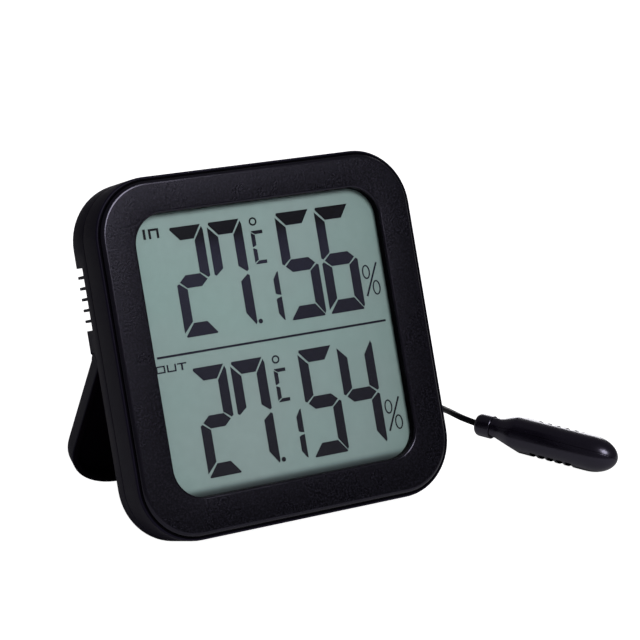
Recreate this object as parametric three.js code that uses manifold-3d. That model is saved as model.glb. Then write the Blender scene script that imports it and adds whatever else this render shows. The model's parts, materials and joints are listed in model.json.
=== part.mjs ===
// Indoor and outdoor digital thermo-hygrometer: a square case that leans back on a folding
// kickstand, with a remote temperature and humidity probe on a thin cable.
// Millimetres, +Z up. The object stands on the plane z = 0 and its front faces -Y.
//
// Most pieces are drawn in the frame of the upright case: X to the right seen from the front,
// Y from the front of the bezel towards the back, Z up, with the origin at the middle of the
// bezel's front. The group "caseFrame" leans that frame back and sets it on the ground.

import * as THREE from 'three';
import { mergeVertices } from 'three/addons/utils/BufferGeometryUtils.js';
import Module from 'manifold-3d';

const wasm = await Module();
wasm.setup();

// ---------------------------------------------------------------- driving dimensions

const gap = 0.3;                 // clearance between neighbouring pieces
const wall = 1.8;                // wall of the two case halves

const caseWidth = 105;
const caseHeight = 106;
const caseCorner = 17.6;         // corner radius of the case outline
const rimWidth = 1.2;            // the case outline stands this far outside the bezel
const rimFront = 1.2;            // depth at which the side of the case starts
const rimWall = 0.6;
const plateBack = 4.9;           // back of the plate that the display shows through
const seamDepth = 10.6;          // joint between the front shell and the rear cover
const backDepth = 19.85;         // back of the upper half
const recessDepth = 14.95;       // back of the lower half, where the stand folds in
const backRound = 2;             // rounding of the rear edge

const bezelDepth = 3.2;
const bezelRound = 0.9;          // rounding of the bezel's outer edge
const windowWidth = 81.6;
const windowTop = 41.9;
const windowBottom = -40.9;
const windowCorner = 9.3;
const lensFront = 2;
const lensBack = 3.1;

// The display and what lies behind it, each with its half width, its extent in Z and in Y.
const displayOpening = { half: 43.8, bottom: -45.6, top: 45.2, corner: 1 };
const lcd = { half: 43.4, bottom: -45.2, top: 44.8, front: 3.5, back: 4.7, corner: 0.6 };
const film = { half: 42, bottom: -42.2, top: 43.3, front: 5, back: 5.35 };
const tray = { half: 44.2, bottom: -46.6, top: 46, front: 5, back: 6, corner: 1.5 };
const trayOpening = { half: 42.3, bottom: -45.3, top: 43.6 };
const connector = { half: 38, bottom: -44.9, top: -43, front: 5 };

// The board has an ear on the right for a screw, and an arm on the left that carries the
// sensors up to the vents.
const board = { front: 7, back: 8.2, top: 14, bottom: -46, half: 40 };
const ear = { reach: 49, bottom: -8, top: 4 };
const arm = { inner: 31, top: 27 };
const boardScrew = { out: 46.6, height: -2, hole: 1.3, head: 2, headThick: 1.3, shank: 0.85 };
const boardBoss = { radius: 2.2, hole: 1.2, holeFloor: 5.1 };
const chip = { x: -8, z: -12, radius: 7, height: 1.5 };
const crystal = { radius: 1, left: 6, right: 12, height: -22 };
const humiditySensor = { left: -47.5, right: -41.5, bottom: 15, top: 25, thick: 2.4 };
const thermistor = { radius: 1.2, left: -47, right: -43, height: 10 };
const tactSwitch = { half: 3, thick: 3.4 };

const ventFirst = 11.8;          // lower edge of the lowest vent slot
const ventSlot = 2.4;
const ventRib = 0.8;
const ventCount = 6;
const ventReach = 5.6;           // how far a slot runs forward on the side
const ventInward = 7.5;          // how far a slot runs in on the back

const pivotDepth = 17.55;        // axis of the kickstand
const pivotHeight = 2.8;
const standThick = 4.6;
const standHalfWidth = 51.9;
const standBottom = -53.8;       // lower edge when folded
const standCorner = 20.5;
const standPlate = 1.6;
const standRim = 2;
const standHollowTop = -5.5;     // upper edge of the hollow, from the axis
const openAngle = THREE.MathUtils.degToRad(50.5);
const lugAt = 30;                // hinge lugs on the rear cover, left and right
const lugWidth = 6;
const lugRadius = 2;
const lugSpace = 0.6;            // clearance of the stand's notches at each side of a lug
const pinRadius = 0.9;
const pinHalf = 8;

const doorHalfWidth = 27.6;
const doorBottom = 16.4;
const doorTop = 30.4;
const doorThick = 1.5;
const doorCorner = 1.2;
const doorSpace = 0.4;           // the doorway is this much wider than the door all round
const grip = { count: 5, pitch: 2, width: 0.8, deep: 0.5, bottom: 5.5, top: 1.8 };
const batteryRadius = 5.2;
const batteryLength = 44.5;
const batteryDepth = 12.8;       // axis of the cell
const batteryHeight = 23.4;
const batteryNub = { radius: 1.9, length: 1 };
const batteryBox = { half: 29.5, front: 6.3, bottom: 14.6, top: 32.2 };
const batteryRoom = { half: 26, front: 7.3, bottom: 17.6, top: 29.2 };
const spring = { wide: 3.6, narrow: 2, start: -25.1, length: 3.2, wire: 0.35, turns: 3 };
const contactPlate = { left: 25.1, right: 25.6, front: 8.6, back: 15.85, half: 4 };

const buttonAt = [-16, 0, 16];
const buttonHeight = 10.9;
const buttonProud = 0.5;
const buttonCap = { half: 3, tall: 1.95, corner: 1.9 };
const buttonFlange = { half: 3.9, tall: 2.8, corner: 2.4, thick: 1.1 };
const buttonStem = { radius: 1.2, front: 12.8 };
const buttonHole = { half: 3.4, tall: 2.35, corner: 2.2 };

const screwHeights = [37, -34];
const screwOut = 47.3;
const screwSink = 1.8;           // depth of the counterbore
const screw = { head: 2.2, headThick: 1.1, shank: 0.95, tip: 5.4 };
const screwCross = { half: 1.3, line: 0.25, floor: 0.5 };
const screwHole = 1.3;
const frontBoss = { radius: 2.6, holeFloor: 5 };
const rearBoss = { radius: 3, sink: 2.6 };

const keyhole = { radius: 3.8, height: 40, slot: 1.7, top: 45, deep: 3 };

const glandAt = { x: 38.5, z: 12 };
const glandLength = 8;
const glandHole = 2.3;

const cableRadius = 1.05;
const cableSides = 8;

const probeStart = new THREE.Vector3(86.7, 6.7, 5.9);
const probeTip = new THREE.Vector3(108.6, -39, 5.9);
const probeRoll = THREE.MathUtils.degToRad(31);
const probeRadius = 5.85;
const neckRadius = 3.75;
const probeWall = 1.2;
const probeTipLength = 9.6;
const capLength = 5.7;           // the boot at the cable's end of the probe
const shoulder = [               // radius and place of the outline from the neck to the body
  [neckRadius, 6], [neckRadius + 0.15, 11.5], [probeRadius - 0.75, 15], [probeRadius, 18.5],
];
const probeBoard = { half: 3.6, thick: 1, start: 19.5, end: 38 };
const probeSensor = { half: 2.4, low: 0.8, high: 2.6, start: 24, end: 32 };
const probeSlot = { count: 5, first: 23.2, pitch: 3.2, half: 1.1, wide: 2.6, floor: 2 };

const overlap = 1;               // how far a cutting body runs past the face it cuts
const rooted = 0.2;              // how far an added body reaches into the one it stands on
const beyond = 80;               // half extent of a cutting body that takes everything on a side

// ---------------------------------------------------------------- helpers

// A closed geometry with shared vertices, no collapsed triangles and its faces outwards.
function weld(geometry) {
  const bare = geometry.clone();
  bare.deleteAttribute('normal');
  bare.deleteAttribute('uv');
  const merged = mergeVertices(bare, 1e-4);
  const place = merged.attributes.position;
  const corners = merged.index.array;
  const kept = [];
  const [a, b, c] = [new THREE.Vector3(), new THREE.Vector3(), new THREE.Vector3()];
  let volume = 0;
  for (let i = 0; i < corners.length; i += 3) {
    const [p, q, r] = corners.slice(i, i + 3);
    if (p === q || q === r || r === p) continue;
    kept.push(p, q, r);
    a.fromBufferAttribute(place, p);
    b.fromBufferAttribute(place, q);
    c.fromBufferAttribute(place, r);
    volume += a.dot(b.cross(c));
  }
  merged.setIndex(volume > 0 ? kept : kept.reverse());
  return merged;
}

function solid(geometry) {
  const closed = weld(geometry);
  return new wasm.Manifold(new wasm.Mesh({
    numProp: 3,
    vertProperties: new Float32Array(closed.attributes.position.array),
    triVerts: new Uint32Array(closed.index.array),
  }));
}

function toGeometry(body) {
  const mesh = body.getMesh();
  const geometry = new THREE.BufferGeometry();
  geometry.setAttribute('position', new THREE.BufferAttribute(mesh.vertProperties, 3));
  geometry.setIndex(new THREE.BufferAttribute(mesh.triVerts, 1));
  return geometry;
}

function joined(bodies) {
  return bodies.reduce((whole, body) => whole.add(body));
}

function rounded(width, height, radius, midX = 0, midY = 0) {
  const [x, y] = [width / 2, height / 2];
  const shape = new THREE.Shape();
  shape.moveTo(midX + x, midY - y + radius);
  shape.absarc(midX + x - radius, midY + y - radius, radius, 0, Math.PI / 2);
  shape.absarc(midX - x + radius, midY + y - radius, radius, Math.PI / 2, Math.PI);
  shape.absarc(midX - x + radius, midY - y + radius, radius, Math.PI, Math.PI * 1.5);
  shape.absarc(midX + x - radius, midY - y + radius, radius, Math.PI * 1.5, Math.PI * 2);
  return shape;
}

function between(left, right, bottom, top, radius) {
  return rounded(right - left, top - bottom, radius, (left + right) / 2, (bottom + top) / 2);
}

function polygon(points) {
  return new THREE.Shape(points.map(([x, z]) => new THREE.Vector2(x, z)));
}

// The outline of a piece that is centred in X and given by its half width and extent in Z.
function panel({ half, bottom, top, corner }) {
  return between(-half, half, bottom, top, corner);
}

// An outline in X and Z, extruded along Y from front to back.
function slab(shape, front, back, round = 0, segments = 6) {
  const geometry = new THREE.ExtrudeGeometry(shape, {
    depth: back - front - 2 * round,
    curveSegments: segments,
    bevelEnabled: round > 0,
    bevelThickness: round,
    bevelSize: round,
    bevelOffset: -round,
    bevelSegments: 2,
  });
  geometry.rotateX(Math.PI / 2);
  geometry.translate(0, back - round, 0);
  return geometry;
}

function block(x0, x1, y0, y1, z0, z1) {
  const geometry = new THREE.BoxGeometry(x1 - x0, y1 - y0, z1 - z0);
  geometry.translate((x0 + x1) / 2, (y0 + y1) / 2, (z0 + z1) / 2);
  return geometry;
}

function sheet({ half, bottom, top }, front, back) {
  return block(-half, half, front, back, bottom, top);
}

// A rod along Y.
function post(x, z, radius, front, back, sides = 16) {
  const geometry = new THREE.CylinderGeometry(radius, radius, back - front, sides);
  geometry.translate(x, (front + back) / 2, z);
  return geometry;
}

// A rod along X.
function bar(y, z, radius, left, right, sides = 16) {
  const geometry = new THREE.CylinderGeometry(radius, radius, right - left, sides);
  geometry.rotateZ(Math.PI / 2);
  geometry.translate((left + right) / 2, y, z);
  return geometry;
}

// A profile of [radius, height] points turned about the local Z axis.
function turned(profile, sides = 24) {
  const points = profile.map(([radius, height]) => new THREE.Vector2(radius, height));
  const geometry = new THREE.LatheGeometry(points, sides);
  geometry.rotateX(Math.PI / 2);
  return geometry;
}

// A round wire along a curve.
function wire(points, radius, sides, steps) {
  const shape = new THREE.Shape();
  for (let i = 0; i < sides; i += 1) {
    const turn = (i / sides) * Math.PI * 2;
    const method = i === 0 ? 'moveTo' : 'lineTo';
    shape[method](radius * Math.cos(turn), radius * Math.sin(turn));
  }
  shape.closePath();
  const path = new THREE.CatmullRomCurve3(points.map((point) => new THREE.Vector3(...point)));
  return new THREE.ExtrudeGeometry(shape, { steps, extrudePath: path, bevelEnabled: false });
}

const finishes = {
  texturedBlack: { color: 0x232328, roughness: 0.55, metalness: 0 },
  satinBlack: { color: 0x202024, roughness: 0.5, metalness: 0 },
  glossBlack: { color: 0x19191d, roughness: 0.25, metalness: 0 },
  rubberBlack: { color: 0x161618, roughness: 0.75, metalness: 0 },
  clear: { color: 0xdfe6e4, roughness: 0.05, metalness: 0 },
  display: { color: 0x8f9e9a, roughness: 0.2, metalness: 0 },
  film: { color: 0xaab2ae, roughness: 0.4, metalness: 0.2 },
  whitePlastic: { color: 0xd6d6d0, roughness: 0.5, metalness: 0 },
  greenBoard: { color: 0x2f6a44, roughness: 0.5, metalness: 0 },
  steel: { color: 0xb8bac0, roughness: 0.3, metalness: 1 },
  cell: { color: 0x6d7f8c, roughness: 0.4, metalness: 0.3 },
};

function piece(name, shape, finish) {
  const geometry = shape.isBufferGeometry ? weld(shape) : toGeometry(shape);
  const mesh = new THREE.Mesh(geometry, new THREE.MeshStandardMaterial(finishes[finish]));
  mesh.name = name;
  return mesh;
}

// ---------------------------------------------------------------- display side

const caseOutline = (inset, radius = caseCorner - inset) => (
  rounded(caseWidth - 2 * inset, caseHeight - 2 * inset, radius));
const windowOutline = (inset) => between(
  -windowWidth / 2 + inset, windowWidth / 2 - inset,
  windowBottom + inset, windowTop - inset, windowCorner - inset);

function frontBezel() {
  const ring = solid(slab(caseOutline(rimWidth), 0, bezelDepth, bezelRound));
  const tunnel = solid(slab(windowOutline(0), -1, bezelDepth + 1));
  return piece('front_bezel', ring.subtract(tunnel), 'texturedBlack');
}

function windowLens() {
  return piece('window_lens', slab(windowOutline(gap), lensFront, lensBack), 'clear');
}

function displayPieces() {
  const cell = slab(panel(lcd), lcd.front, lcd.back, 0, 2);
  const holder = solid(slab(panel(tray), tray.front, tray.back, 0, 3))
    .subtract(solid(sheet(trayOpening, tray.front - overlap, tray.back + overlap)));
  return [
    piece('lcd_cell', cell, 'display'),
    piece('lcd_reflector_film', sheet(film, film.front, film.back), 'film'),
    piece('lcd_holder', holder, 'whitePlastic'),
    piece('lcd_connector_strip', sheet(connector, connector.front, board.front - gap),
      'rubberBlack'),
  ];
}

// The front half of the case: a thin rim round the bezel, a plate behind it with the opening
// for the display, side walls, and the bosses that take the screws.
function frontShell() {
  const plateFront = bezelDepth + gap;
  let shell = solid(slab(caseOutline(0), rimFront, seamDepth));
  shell = shell.subtract(solid(slab(caseOutline(rimWall), 0, plateFront)));
  shell = shell.subtract(solid(slab(caseOutline(wall), plateBack, seamDepth + overlap)));
  shell = shell.subtract(solid(slab(panel(displayOpening), 0, plateBack + overlap, 0, 2)));
  for (const side of [-1, 1]) {
    for (const height of screwHeights) {
      const x = side * screwOut;
      shell = shell.add(solid(post(x, height, frontBoss.radius, plateBack - rooted, seamDepth)));
      shell = shell.subtract(solid(post(x, height, screwHole, frontBoss.holeFloor,
        seamDepth + overlap, 12)));
    }
    const x = side * boardScrew.out;
    shell = shell.add(solid(post(x, boardScrew.height, boardBoss.radius, plateBack - rooted,
      board.front - gap)));
    shell = shell.subtract(solid(post(x, boardScrew.height, boardBoss.hole, boardBoss.holeFloor,
      board.front, 12)));
  }
  return piece('front_shell', shell, 'satinBlack');
}

// ---------------------------------------------------------------- electronics

function electronics() {
  const { front, back, top, bottom, half } = board;
  const outline = polygon([
    [-half, bottom], [half, bottom], [half, ear.bottom], [ear.reach, ear.bottom],
    [ear.reach, ear.top], [half, ear.top], [half, top], [-arm.inner, top],
    [-arm.inner, arm.top], [-ear.reach, arm.top], [-ear.reach, ear.bottom], [-half, ear.bottom],
  ]);
  let plate = solid(slab(outline, front, back));
  for (const side of [-1, 1]) {
    plate = plate.subtract(solid(post(side * boardScrew.out, boardScrew.height, boardScrew.hole,
      front - overlap, back + overlap, 12)));
  }
  const on = back + gap;
  const dome = [[1, 0], [0.943, 0.467], [0.643, 0.867], [0, 1]];
  const blob = turned([[0, 0], ...dome.map(([radius, height]) => (
    [radius * chip.radius, height * chip.height]))]);
  blob.rotateX(-Math.PI / 2);
  blob.translate(chip.x, on, chip.z);
  const made = [
    piece('main_board', plate, 'greenBoard'),
    piece('chip_blob', blob, 'glossBlack'),
    piece('clock_crystal', bar(on + crystal.radius, crystal.height, crystal.radius,
      crystal.left, crystal.right, 12), 'steel'),
    piece('indoor_humidity_sensor', block(humiditySensor.left, humiditySensor.right, on,
      on + humiditySensor.thick, humiditySensor.bottom, humiditySensor.top), 'whitePlastic'),
    piece('indoor_thermistor', bar(on + thermistor.radius, thermistor.height, thermistor.radius,
      thermistor.left, thermistor.right, 12), 'glossBlack'),
  ];
  buttonAt.forEach((x, i) => {
    const reach = tactSwitch.half;
    const body = block(x - reach, x + reach, on, on + tactSwitch.thick, buttonHeight - reach,
      buttonHeight + reach);
    made.push(piece(`tact_switch_${i + 1}`, body, 'steel'));
  });
  for (const [side, name] of [[-1, 'left'], [1, 'right']]) {
    const x = side * boardScrew.out;
    const head = solid(post(x, boardScrew.height, boardScrew.head, on,
      on + boardScrew.headThick));
    const shank = solid(post(x, boardScrew.height, boardScrew.shank,
      boardBoss.holeFloor + 0.4, on + rooted, 12));
    made.push(piece(`board_screw_${name}`, head.add(shank), 'steel'));
  }
  return made;
}

// ---------------------------------------------------------------- power

function batteryPieces() {
  const start = -batteryLength / 2 + batteryNub.length;
  const end = start + batteryLength;
  const can = solid(bar(batteryDepth, batteryHeight, batteryRadius, start,
    end - batteryNub.length, 28));
  const nub = solid(bar(batteryDepth, batteryHeight, batteryNub.radius,
    end - 2 * batteryNub.length, end, 16));

  // The negative contact is a cone-shaped coil, the positive one a flat plate.
  const perTurn = 12;
  const count = spring.turns * perTurn;
  const coil = [];
  for (let i = 0; i <= count; i += 1) {
    const turn = (i / perTurn) * Math.PI * 2;
    const radius = spring.wide - ((spring.wide - spring.narrow) * i) / count;
    coil.push([spring.start + (spring.length * i) / count,
      batteryDepth + radius * Math.cos(turn), batteryHeight + radius * Math.sin(turn)]);
  }
  const { left, right, front, back, half } = contactPlate;
  const plate = block(left, right, front, back, batteryHeight - half, batteryHeight + half);
  return [
    piece('battery_cell', can.add(nub), 'cell'),
    piece('contact_spring', wire(coil, spring.wire, 6, spring.turns * 14), 'steel'),
    piece('contact_plate', plate, 'steel'),
  ];
}

// The door swings on the lower edge of its opening, and a thumb latch holds its top.
function batteryDoor() {
  const inner = backDepth - doorThick;
  let door = solid(slab(between(-doorHalfWidth, doorHalfWidth, doorBottom, doorTop, doorCorner),
    inner, backDepth, 0, 3));
  for (let i = 0; i < grip.count; i += 1) {
    const x = (i - (grip.count - 1) / 2) * grip.pitch;
    door = door.subtract(solid(block(x - grip.width / 2, x + grip.width / 2,
      backDepth - grip.deep, backDepth + overlap, doorTop - grip.bottom, doorTop - grip.top)));
  }
  return piece('battery_door', door, 'satinBlack');
}

// ---------------------------------------------------------------- back of the case

function buttonOutline(x, { half, tall, corner }) {
  return between(x - half, x + half, buttonHeight - tall, buttonHeight + tall, corner);
}

function rearCover() {
  const front = seamDepth + gap;
  const recessTop = pivotHeight;
  const pocket = standThick / 2 + 0.5;
  const floorTop = recessTop + pocket + wall;

  let cover = solid(slab(caseOutline(0), front - 2 * backRound, backDepth, backRound, 8))
    .subtract(solid(block(-beyond, beyond, 0, front, -beyond, beyond)));

  // The lower half is stepped in for the stand, with a round pocket along the hinge line.
  const step = solid(block(-beyond, beyond, recessDepth, beyond, -beyond, recessTop))
    .add(solid(bar(pivotDepth, pivotHeight, pocket, -beyond, beyond, 28)));
  cover = cover.subtract(step);
  const lower = solid(slab(caseOutline(wall), 0, recessDepth - wall));
  const upper = solid(slab(caseOutline(wall), 0, backDepth - wall))
    .subtract(solid(block(-beyond, beyond, -overlap, beyond, -beyond, floorTop)));
  cover = cover.subtract(lower).subtract(upper);

  // Hinge lugs.
  for (const side of [-1, 1]) {
    const [left, right] = [side * lugAt - lugWidth / 2, side * lugAt + lugWidth / 2];
    cover = cover.add(solid(bar(pivotDepth, pivotHeight, lugRadius, left, right, 20)));
    cover = cover.add(solid(block(left, right, recessDepth - overlap, pivotDepth,
      pivotHeight - lugRadius, pivotHeight + lugRadius)));
    cover = cover.subtract(solid(bar(pivotDepth, pivotHeight, pinRadius + gap,
      left - overlap, right + overlap)));
  }

  // Battery box, with the recess that the door lies in.
  const doorway = between(-doorHalfWidth - doorSpace, doorHalfWidth + doorSpace,
    doorBottom - doorSpace, doorTop + doorSpace, doorCorner + gap);
  cover = cover.add(solid(sheet(batteryBox, batteryBox.front, backDepth - wall + rooted / 2)))
    .subtract(solid(sheet(batteryRoom, batteryRoom.front, beyond)))
    .subtract(solid(slab(doorway, backDepth - doorThick - gap, beyond, 0, 3)));

  // Screw bosses and counterbores.
  for (const side of [-1, 1]) {
    screwHeights.forEach((height) => {
      const face = height > 0 ? backDepth : recessDepth;
      const seat = face - screwSink;
      const x = side * screwOut;
      cover = cover.add(solid(post(x, height, rearBoss.radius, front, seat + rooted / 2)))
        .subtract(solid(post(x, height, screwHole, 0, face + overlap, 12)))
        .subtract(solid(post(x, height, rearBoss.sink, seat, face + overlap)));
    });
  }

  // Vent slots through both rear edges, open towards the side and the back.
  for (let i = 0; i < ventCount; i += 1) {
    const low = ventFirst + i * (ventSlot + ventRib);
    for (const side of [-1, 1]) {
      const ends = [side * (caseWidth / 2 + overlap), side * (caseWidth / 2 - ventInward)];
      cover = cover.subtract(solid(block(Math.min(...ends), Math.max(...ends),
        backDepth - ventReach, backDepth + overlap, low, low + ventSlot)));
    }
  }

  // Keyhole for hanging the case on a nail.
  const [inside, outside] = [backDepth - keyhole.deep, backDepth + overlap];
  cover = cover.subtract(solid(post(0, keyhole.height, keyhole.radius, inside, outside, 20)))
    .subtract(solid(block(-keyhole.slot, keyhole.slot, inside, outside, keyhole.height,
      keyhole.top)))
    .subtract(solid(post(0, keyhole.top, keyhole.slot, inside, outside, 12)));

  // Holes for the buttons and the cable gland.
  for (const x of buttonAt) {
    cover = cover.subtract(solid(slab(buttonOutline(x, buttonHole), inside, outside, 0, 4)));
  }
  cover = cover.subtract(solid(post(glandAt.x, glandAt.z, glandHole, inside, outside)));
  return piece('rear_cover', cover, 'satinBlack');
}

function caseScrews() {
  const made = [];
  for (const side of [-1, 1]) {
    screwHeights.forEach((height) => {
      const face = height > 0 ? backDepth : recessDepth;
      const seat = face - screwSink + gap;
      const x = side * screwOut;
      const { half, line, floor } = screwCross;
      const head = solid(post(x, height, screw.head, seat, seat + screw.headThick));
      const shank = solid(post(x, height, screw.shank, screw.tip, seat + rooted, 12));
      const cross = [[half, line], [line, half]].map(([wide, tall]) => solid(block(
        x - wide, x + wide, seat + floor, face + overlap, height - tall, height + tall)));
      const name = `case_screw_${side < 0 ? 'left' : 'right'}_${height > 0 ? 'upper' : 'lower'}`;
      made.push(piece(name, head.add(shank).subtract(joined(cross)), 'steel'));
    });
  }
  return made;
}

function buttons() {
  const names = ['button_left', 'button_middle', 'button_right'];
  return buttonAt.map((x, i) => {
    const inner = backDepth - wall - gap;
    const flangeFront = inner - buttonFlange.thick;
    const body = joined([
      solid(slab(buttonOutline(x, buttonCap), inner - rooted, backDepth + buttonProud, 0, 5)),
      solid(slab(buttonOutline(x, buttonFlange), flangeFront, inner, 0, 4)),
      solid(post(x, buttonHeight, buttonStem.radius, buttonStem.front, flangeFront + rooted,
        12)),
    ]);
    return piece(names[i], body, 'rubberBlack');
  });
}

// The boot that the cable leaves the case through: a flange inside, a taper outside.
function cableGland() {
  const profile = [
    [0, -3.1], [3.2, -3.1], [3.2, -2.1], [1.95, -2.1], [1.95, 0.4], [2.6, 0.4], [2.6, 1.2],
    [1.45, glandLength], [0, glandLength],
  ];
  const boot = turned(profile, 16);
  boot.rotateX(-Math.PI / 2);
  boot.translate(glandAt.x, backDepth, glandAt.z);
  return piece('cable_gland', boot, 'rubberBlack');
}

// ---------------------------------------------------------------- kickstand

// An outline with a straight top and two round lower corners.
function tongue(half, top, bottom, corner) {
  const shape = new THREE.Shape();
  shape.moveTo(-half, top);
  shape.lineTo(-half, bottom + corner);
  shape.absarc(-half + corner, bottom + corner, corner, Math.PI, Math.PI * 1.5);
  shape.absarc(half - corner, bottom + corner, corner, Math.PI * 1.5, Math.PI * 2);
  shape.lineTo(half, top);
  shape.closePath();
  return shape;
}

// Drawn folded, with the hinge axis on the local X axis, then opened by turning the group.
function kickstand() {
  const half = standThick / 2;
  const bottom = standBottom - pivotHeight;
  const outline = tongue(standHalfWidth, 0, bottom, standCorner);
  let stand = solid(slab(outline, -half, half, 0, 10));
  stand = stand.add(solid(bar(0, 0, half, -standHalfWidth, standHalfWidth, 24)));

  // The side that faces the case is hollow, inside a rim.
  const inner = tongue(standHalfWidth - standRim, standHollowTop, bottom + standRim,
    standCorner - standRim);
  stand = stand.subtract(solid(slab(inner, -half - overlap, half - standPlate, 0, 10)));

  const reach = lugWidth / 2 + lugSpace;
  const pinHole = pinHalf + gap;
  for (const side of [-1, 1]) {
    const x = side * lugAt;
    stand = stand.subtract(solid(block(x - reach, x + reach, -half - overlap, half + overlap,
      -half - lugSpace, half + overlap)));
    stand = stand.subtract(solid(bar(0, 0, pinRadius + gap, x - pinHole, x + pinHole)));
  }
  const pins = [[-1, 'left'], [1, 'right']].map(([side, name]) => piece(`hinge_pin_${name}`,
    bar(0, 0, pinRadius, side * lugAt - pinHalf, side * lugAt + pinHalf), 'steel'));

  const group = new THREE.Group();
  group.add(piece('kickstand', stand, 'satinBlack'), ...pins);
  group.position.set(0, pivotDepth, pivotHeight);
  group.rotation.x = openAngle;
  return group;
}

// ---------------------------------------------------------------- probe

// Drawn along the local Z axis: the cable enters at 0 and the tip is at probeLength. The two
// half shells meet at the local YZ plane, and each has its vent slots along its crest, on X.
const probeLength = probeStart.distanceTo(probeTip);

function probeProfile(inset) {
  const tipStart = probeLength - probeTipLength;
  const profile = [
    [0, capLength + gap + inset],
    ...shoulder.map(([radius, height]) => [radius - inset, Math.max(height,
      capLength + gap + inset)]),
    [probeRadius - inset, tipStart],
  ];
  for (let i = 1; i <= 6; i += 1) {
    const turn = (i / 6) * (Math.PI / 2);
    const radius = Math.max((probeRadius - inset) * Math.cos(turn), 0);
    profile.push([i === 6 ? 0 : radius, tipStart + (probeTipLength - inset) * Math.sin(turn)]);
  }
  return profile;
}

function probe() {
  const shell = solid(turned(probeProfile(0))).subtract(solid(turned(probeProfile(probeWall))));
  const halves = [[1, 'upper'], [-1, 'lower']].map(([side, name]) => {
    // A block on this half's side, from the given distance outwards.
    const outside = (near, wide, start, end) => solid(block(
      Math.min(side * near, side * beyond), Math.max(side * near, side * beyond), -wide, wide,
      start, end));
    let half = shell.intersect(outside(gap / 2, beyond, -beyond, beyond));
    for (let i = 0; i < probeSlot.count; i += 1) {
      const middle = probeSlot.first + i * probeSlot.pitch;
      half = half.subtract(outside(probeSlot.floor, probeSlot.wide, middle - probeSlot.half,
        middle + probeSlot.half));
    }
    return piece(`probe_shell_${name}`, half, 'satinBlack');
  });

  const cap = turned([
    [0, 0], [2.4, 0], [neckRadius - 0.2, 0.9], [neckRadius, 1.6], [neckRadius, capLength],
    [0, capLength],
  ]);
  const inside = [
    piece('probe_board', block(-probeBoard.thick / 2, probeBoard.thick / 2, -probeBoard.half,
      probeBoard.half, probeBoard.start, probeBoard.end), 'greenBoard'),
    piece('probe_humidity_sensor', block(probeSensor.low, probeSensor.high, -probeSensor.half,
      probeSensor.half, probeSensor.start, probeSensor.end), 'whitePlastic'),
    piece('probe_thermistor', turned([
      [0, 39], [1.1, 39.6], [1.3, 41.4], [0.9, 43.2], [0, 43.7],
    ], 12), 'glossBlack'),
  ];

  const group = new THREE.Group();
  group.add(...halves, piece('probe_gland', cap, 'rubberBlack'), ...inside);
  const ahead = probeTip.clone().sub(probeStart).normalize();
  const across = new THREE.Vector3(0, 0, 1).cross(ahead).normalize();
  const upward = ahead.clone().cross(across);
  const crest = upward.multiplyScalar(Math.cos(probeRoll))
    .addScaledVector(across, Math.sin(probeRoll));
  const third = ahead.clone().cross(crest);
  group.quaternion.setFromRotationMatrix(new THREE.Matrix4().makeBasis(crest, third, ahead));
  group.position.copy(probeStart);
  return group;
}

// ---------------------------------------------------------------- cable

// The route is given in the frame of the whole object. From the gland the cable drops behind
// the stand to the coil, and from the coil it runs along the ground to the probe.
const coilMiddle = { x: 30, y: 76 };
const coilInner = 8;
const coilOuter = 16.8;
const coilHeight = 8.8;
const coilBevel = 1;
const coilLift = 0.1;            // the turns lie this far above the ground
const tieWidth = 3.2;
const tieThick = 0.6;

const leadFromCase = [
  [38.5, 16.9, 55.35], [38.5, 21, 53.6], [38.7, 27, 50.2], [39.2, 33, 45.2], [40, 38, 38.6],
  [41, 42, 30.6], [42.2, 45.6, 22], [43.5, 49.2, 13.4], [45, 53.4, 6.6], [46.3, 59, 2.6],
  [47.2, 66, 1.3], [47.9, 73, 1.2],
];
const leadToProbe = [
  [12.1, 73, 7.2], [12.4, 66, 6], [14.6, 59.6, 4.4], [19, 54.2, 2.8], [26, 50.4, 1.6],
  [34.6, 48.2, 1.2], [44, 47, 1.2], [54, 46.4, 1.2], [64, 46.4, 1.2], [74, 46.2, 1.2],
  [83, 44.2, 1.2], [88.8, 39.8, 1.2], [90.4, 34.4, 1.3], [89.2, 29.2, 2.4], [87.2, 25, 3.9],
  [85.6, 21, 5.1], [84.6, 17, 5.9], [84.5, 13, 6.2], [85.4, 9.6, 6.1], [86.45, 7.1, 5.9],
];

// A band round the coil's section, and the space that the cable leaves for it.
function tieBand(extra) {
  const [from, to] = [coilInner - gap - tieThick, coilOuter + gap + tieThick];
  const [left, right] = [coilMiddle.x - tieWidth / 2, coilMiddle.x + tieWidth / 2];
  const outer = block(left - extra, right + extra, coilMiddle.y + from - extra,
    coilMiddle.y + to + extra, 0, coilHeight + gap + tieThick + extra);
  const inner = block(left - coilInner, right + coilInner, coilMiddle.y + from + tieThick + extra,
    coilMiddle.y + to - tieThick - extra, tieThick + extra, coilHeight + gap - extra);
  return solid(outer).subtract(solid(inner));
}

function cablePieces() {
  const [left, right] = [coilInner + coilBevel, coilOuter - coilBevel];
  const [low, high] = [coilLift + coilBevel, coilHeight - coilBevel];
  const ring = turned([
    [left, coilLift], [right, coilLift], [coilOuter, low], [coilOuter, high],
    [right, coilHeight], [left, coilHeight], [coilInner, high], [coilInner, low],
    [left, coilLift],
  ], 28);
  ring.translate(coilMiddle.x, coilMiddle.y, 0);
  const coil = solid(ring).subtract(tieBand(gap));
  return [
    piece('cable_lead_case', wire(leadFromCase, cableRadius, cableSides, 24), 'rubberBlack'),
    piece('cable_coil', coil, 'rubberBlack'),
    piece('coil_tie', tieBand(0), 'rubberBlack'),
    piece('cable_lead_probe', wire(leadToProbe, cableRadius, cableSides, 44), 'rubberBlack'),
  ];
}

// ---------------------------------------------------------------- assembly

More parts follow.
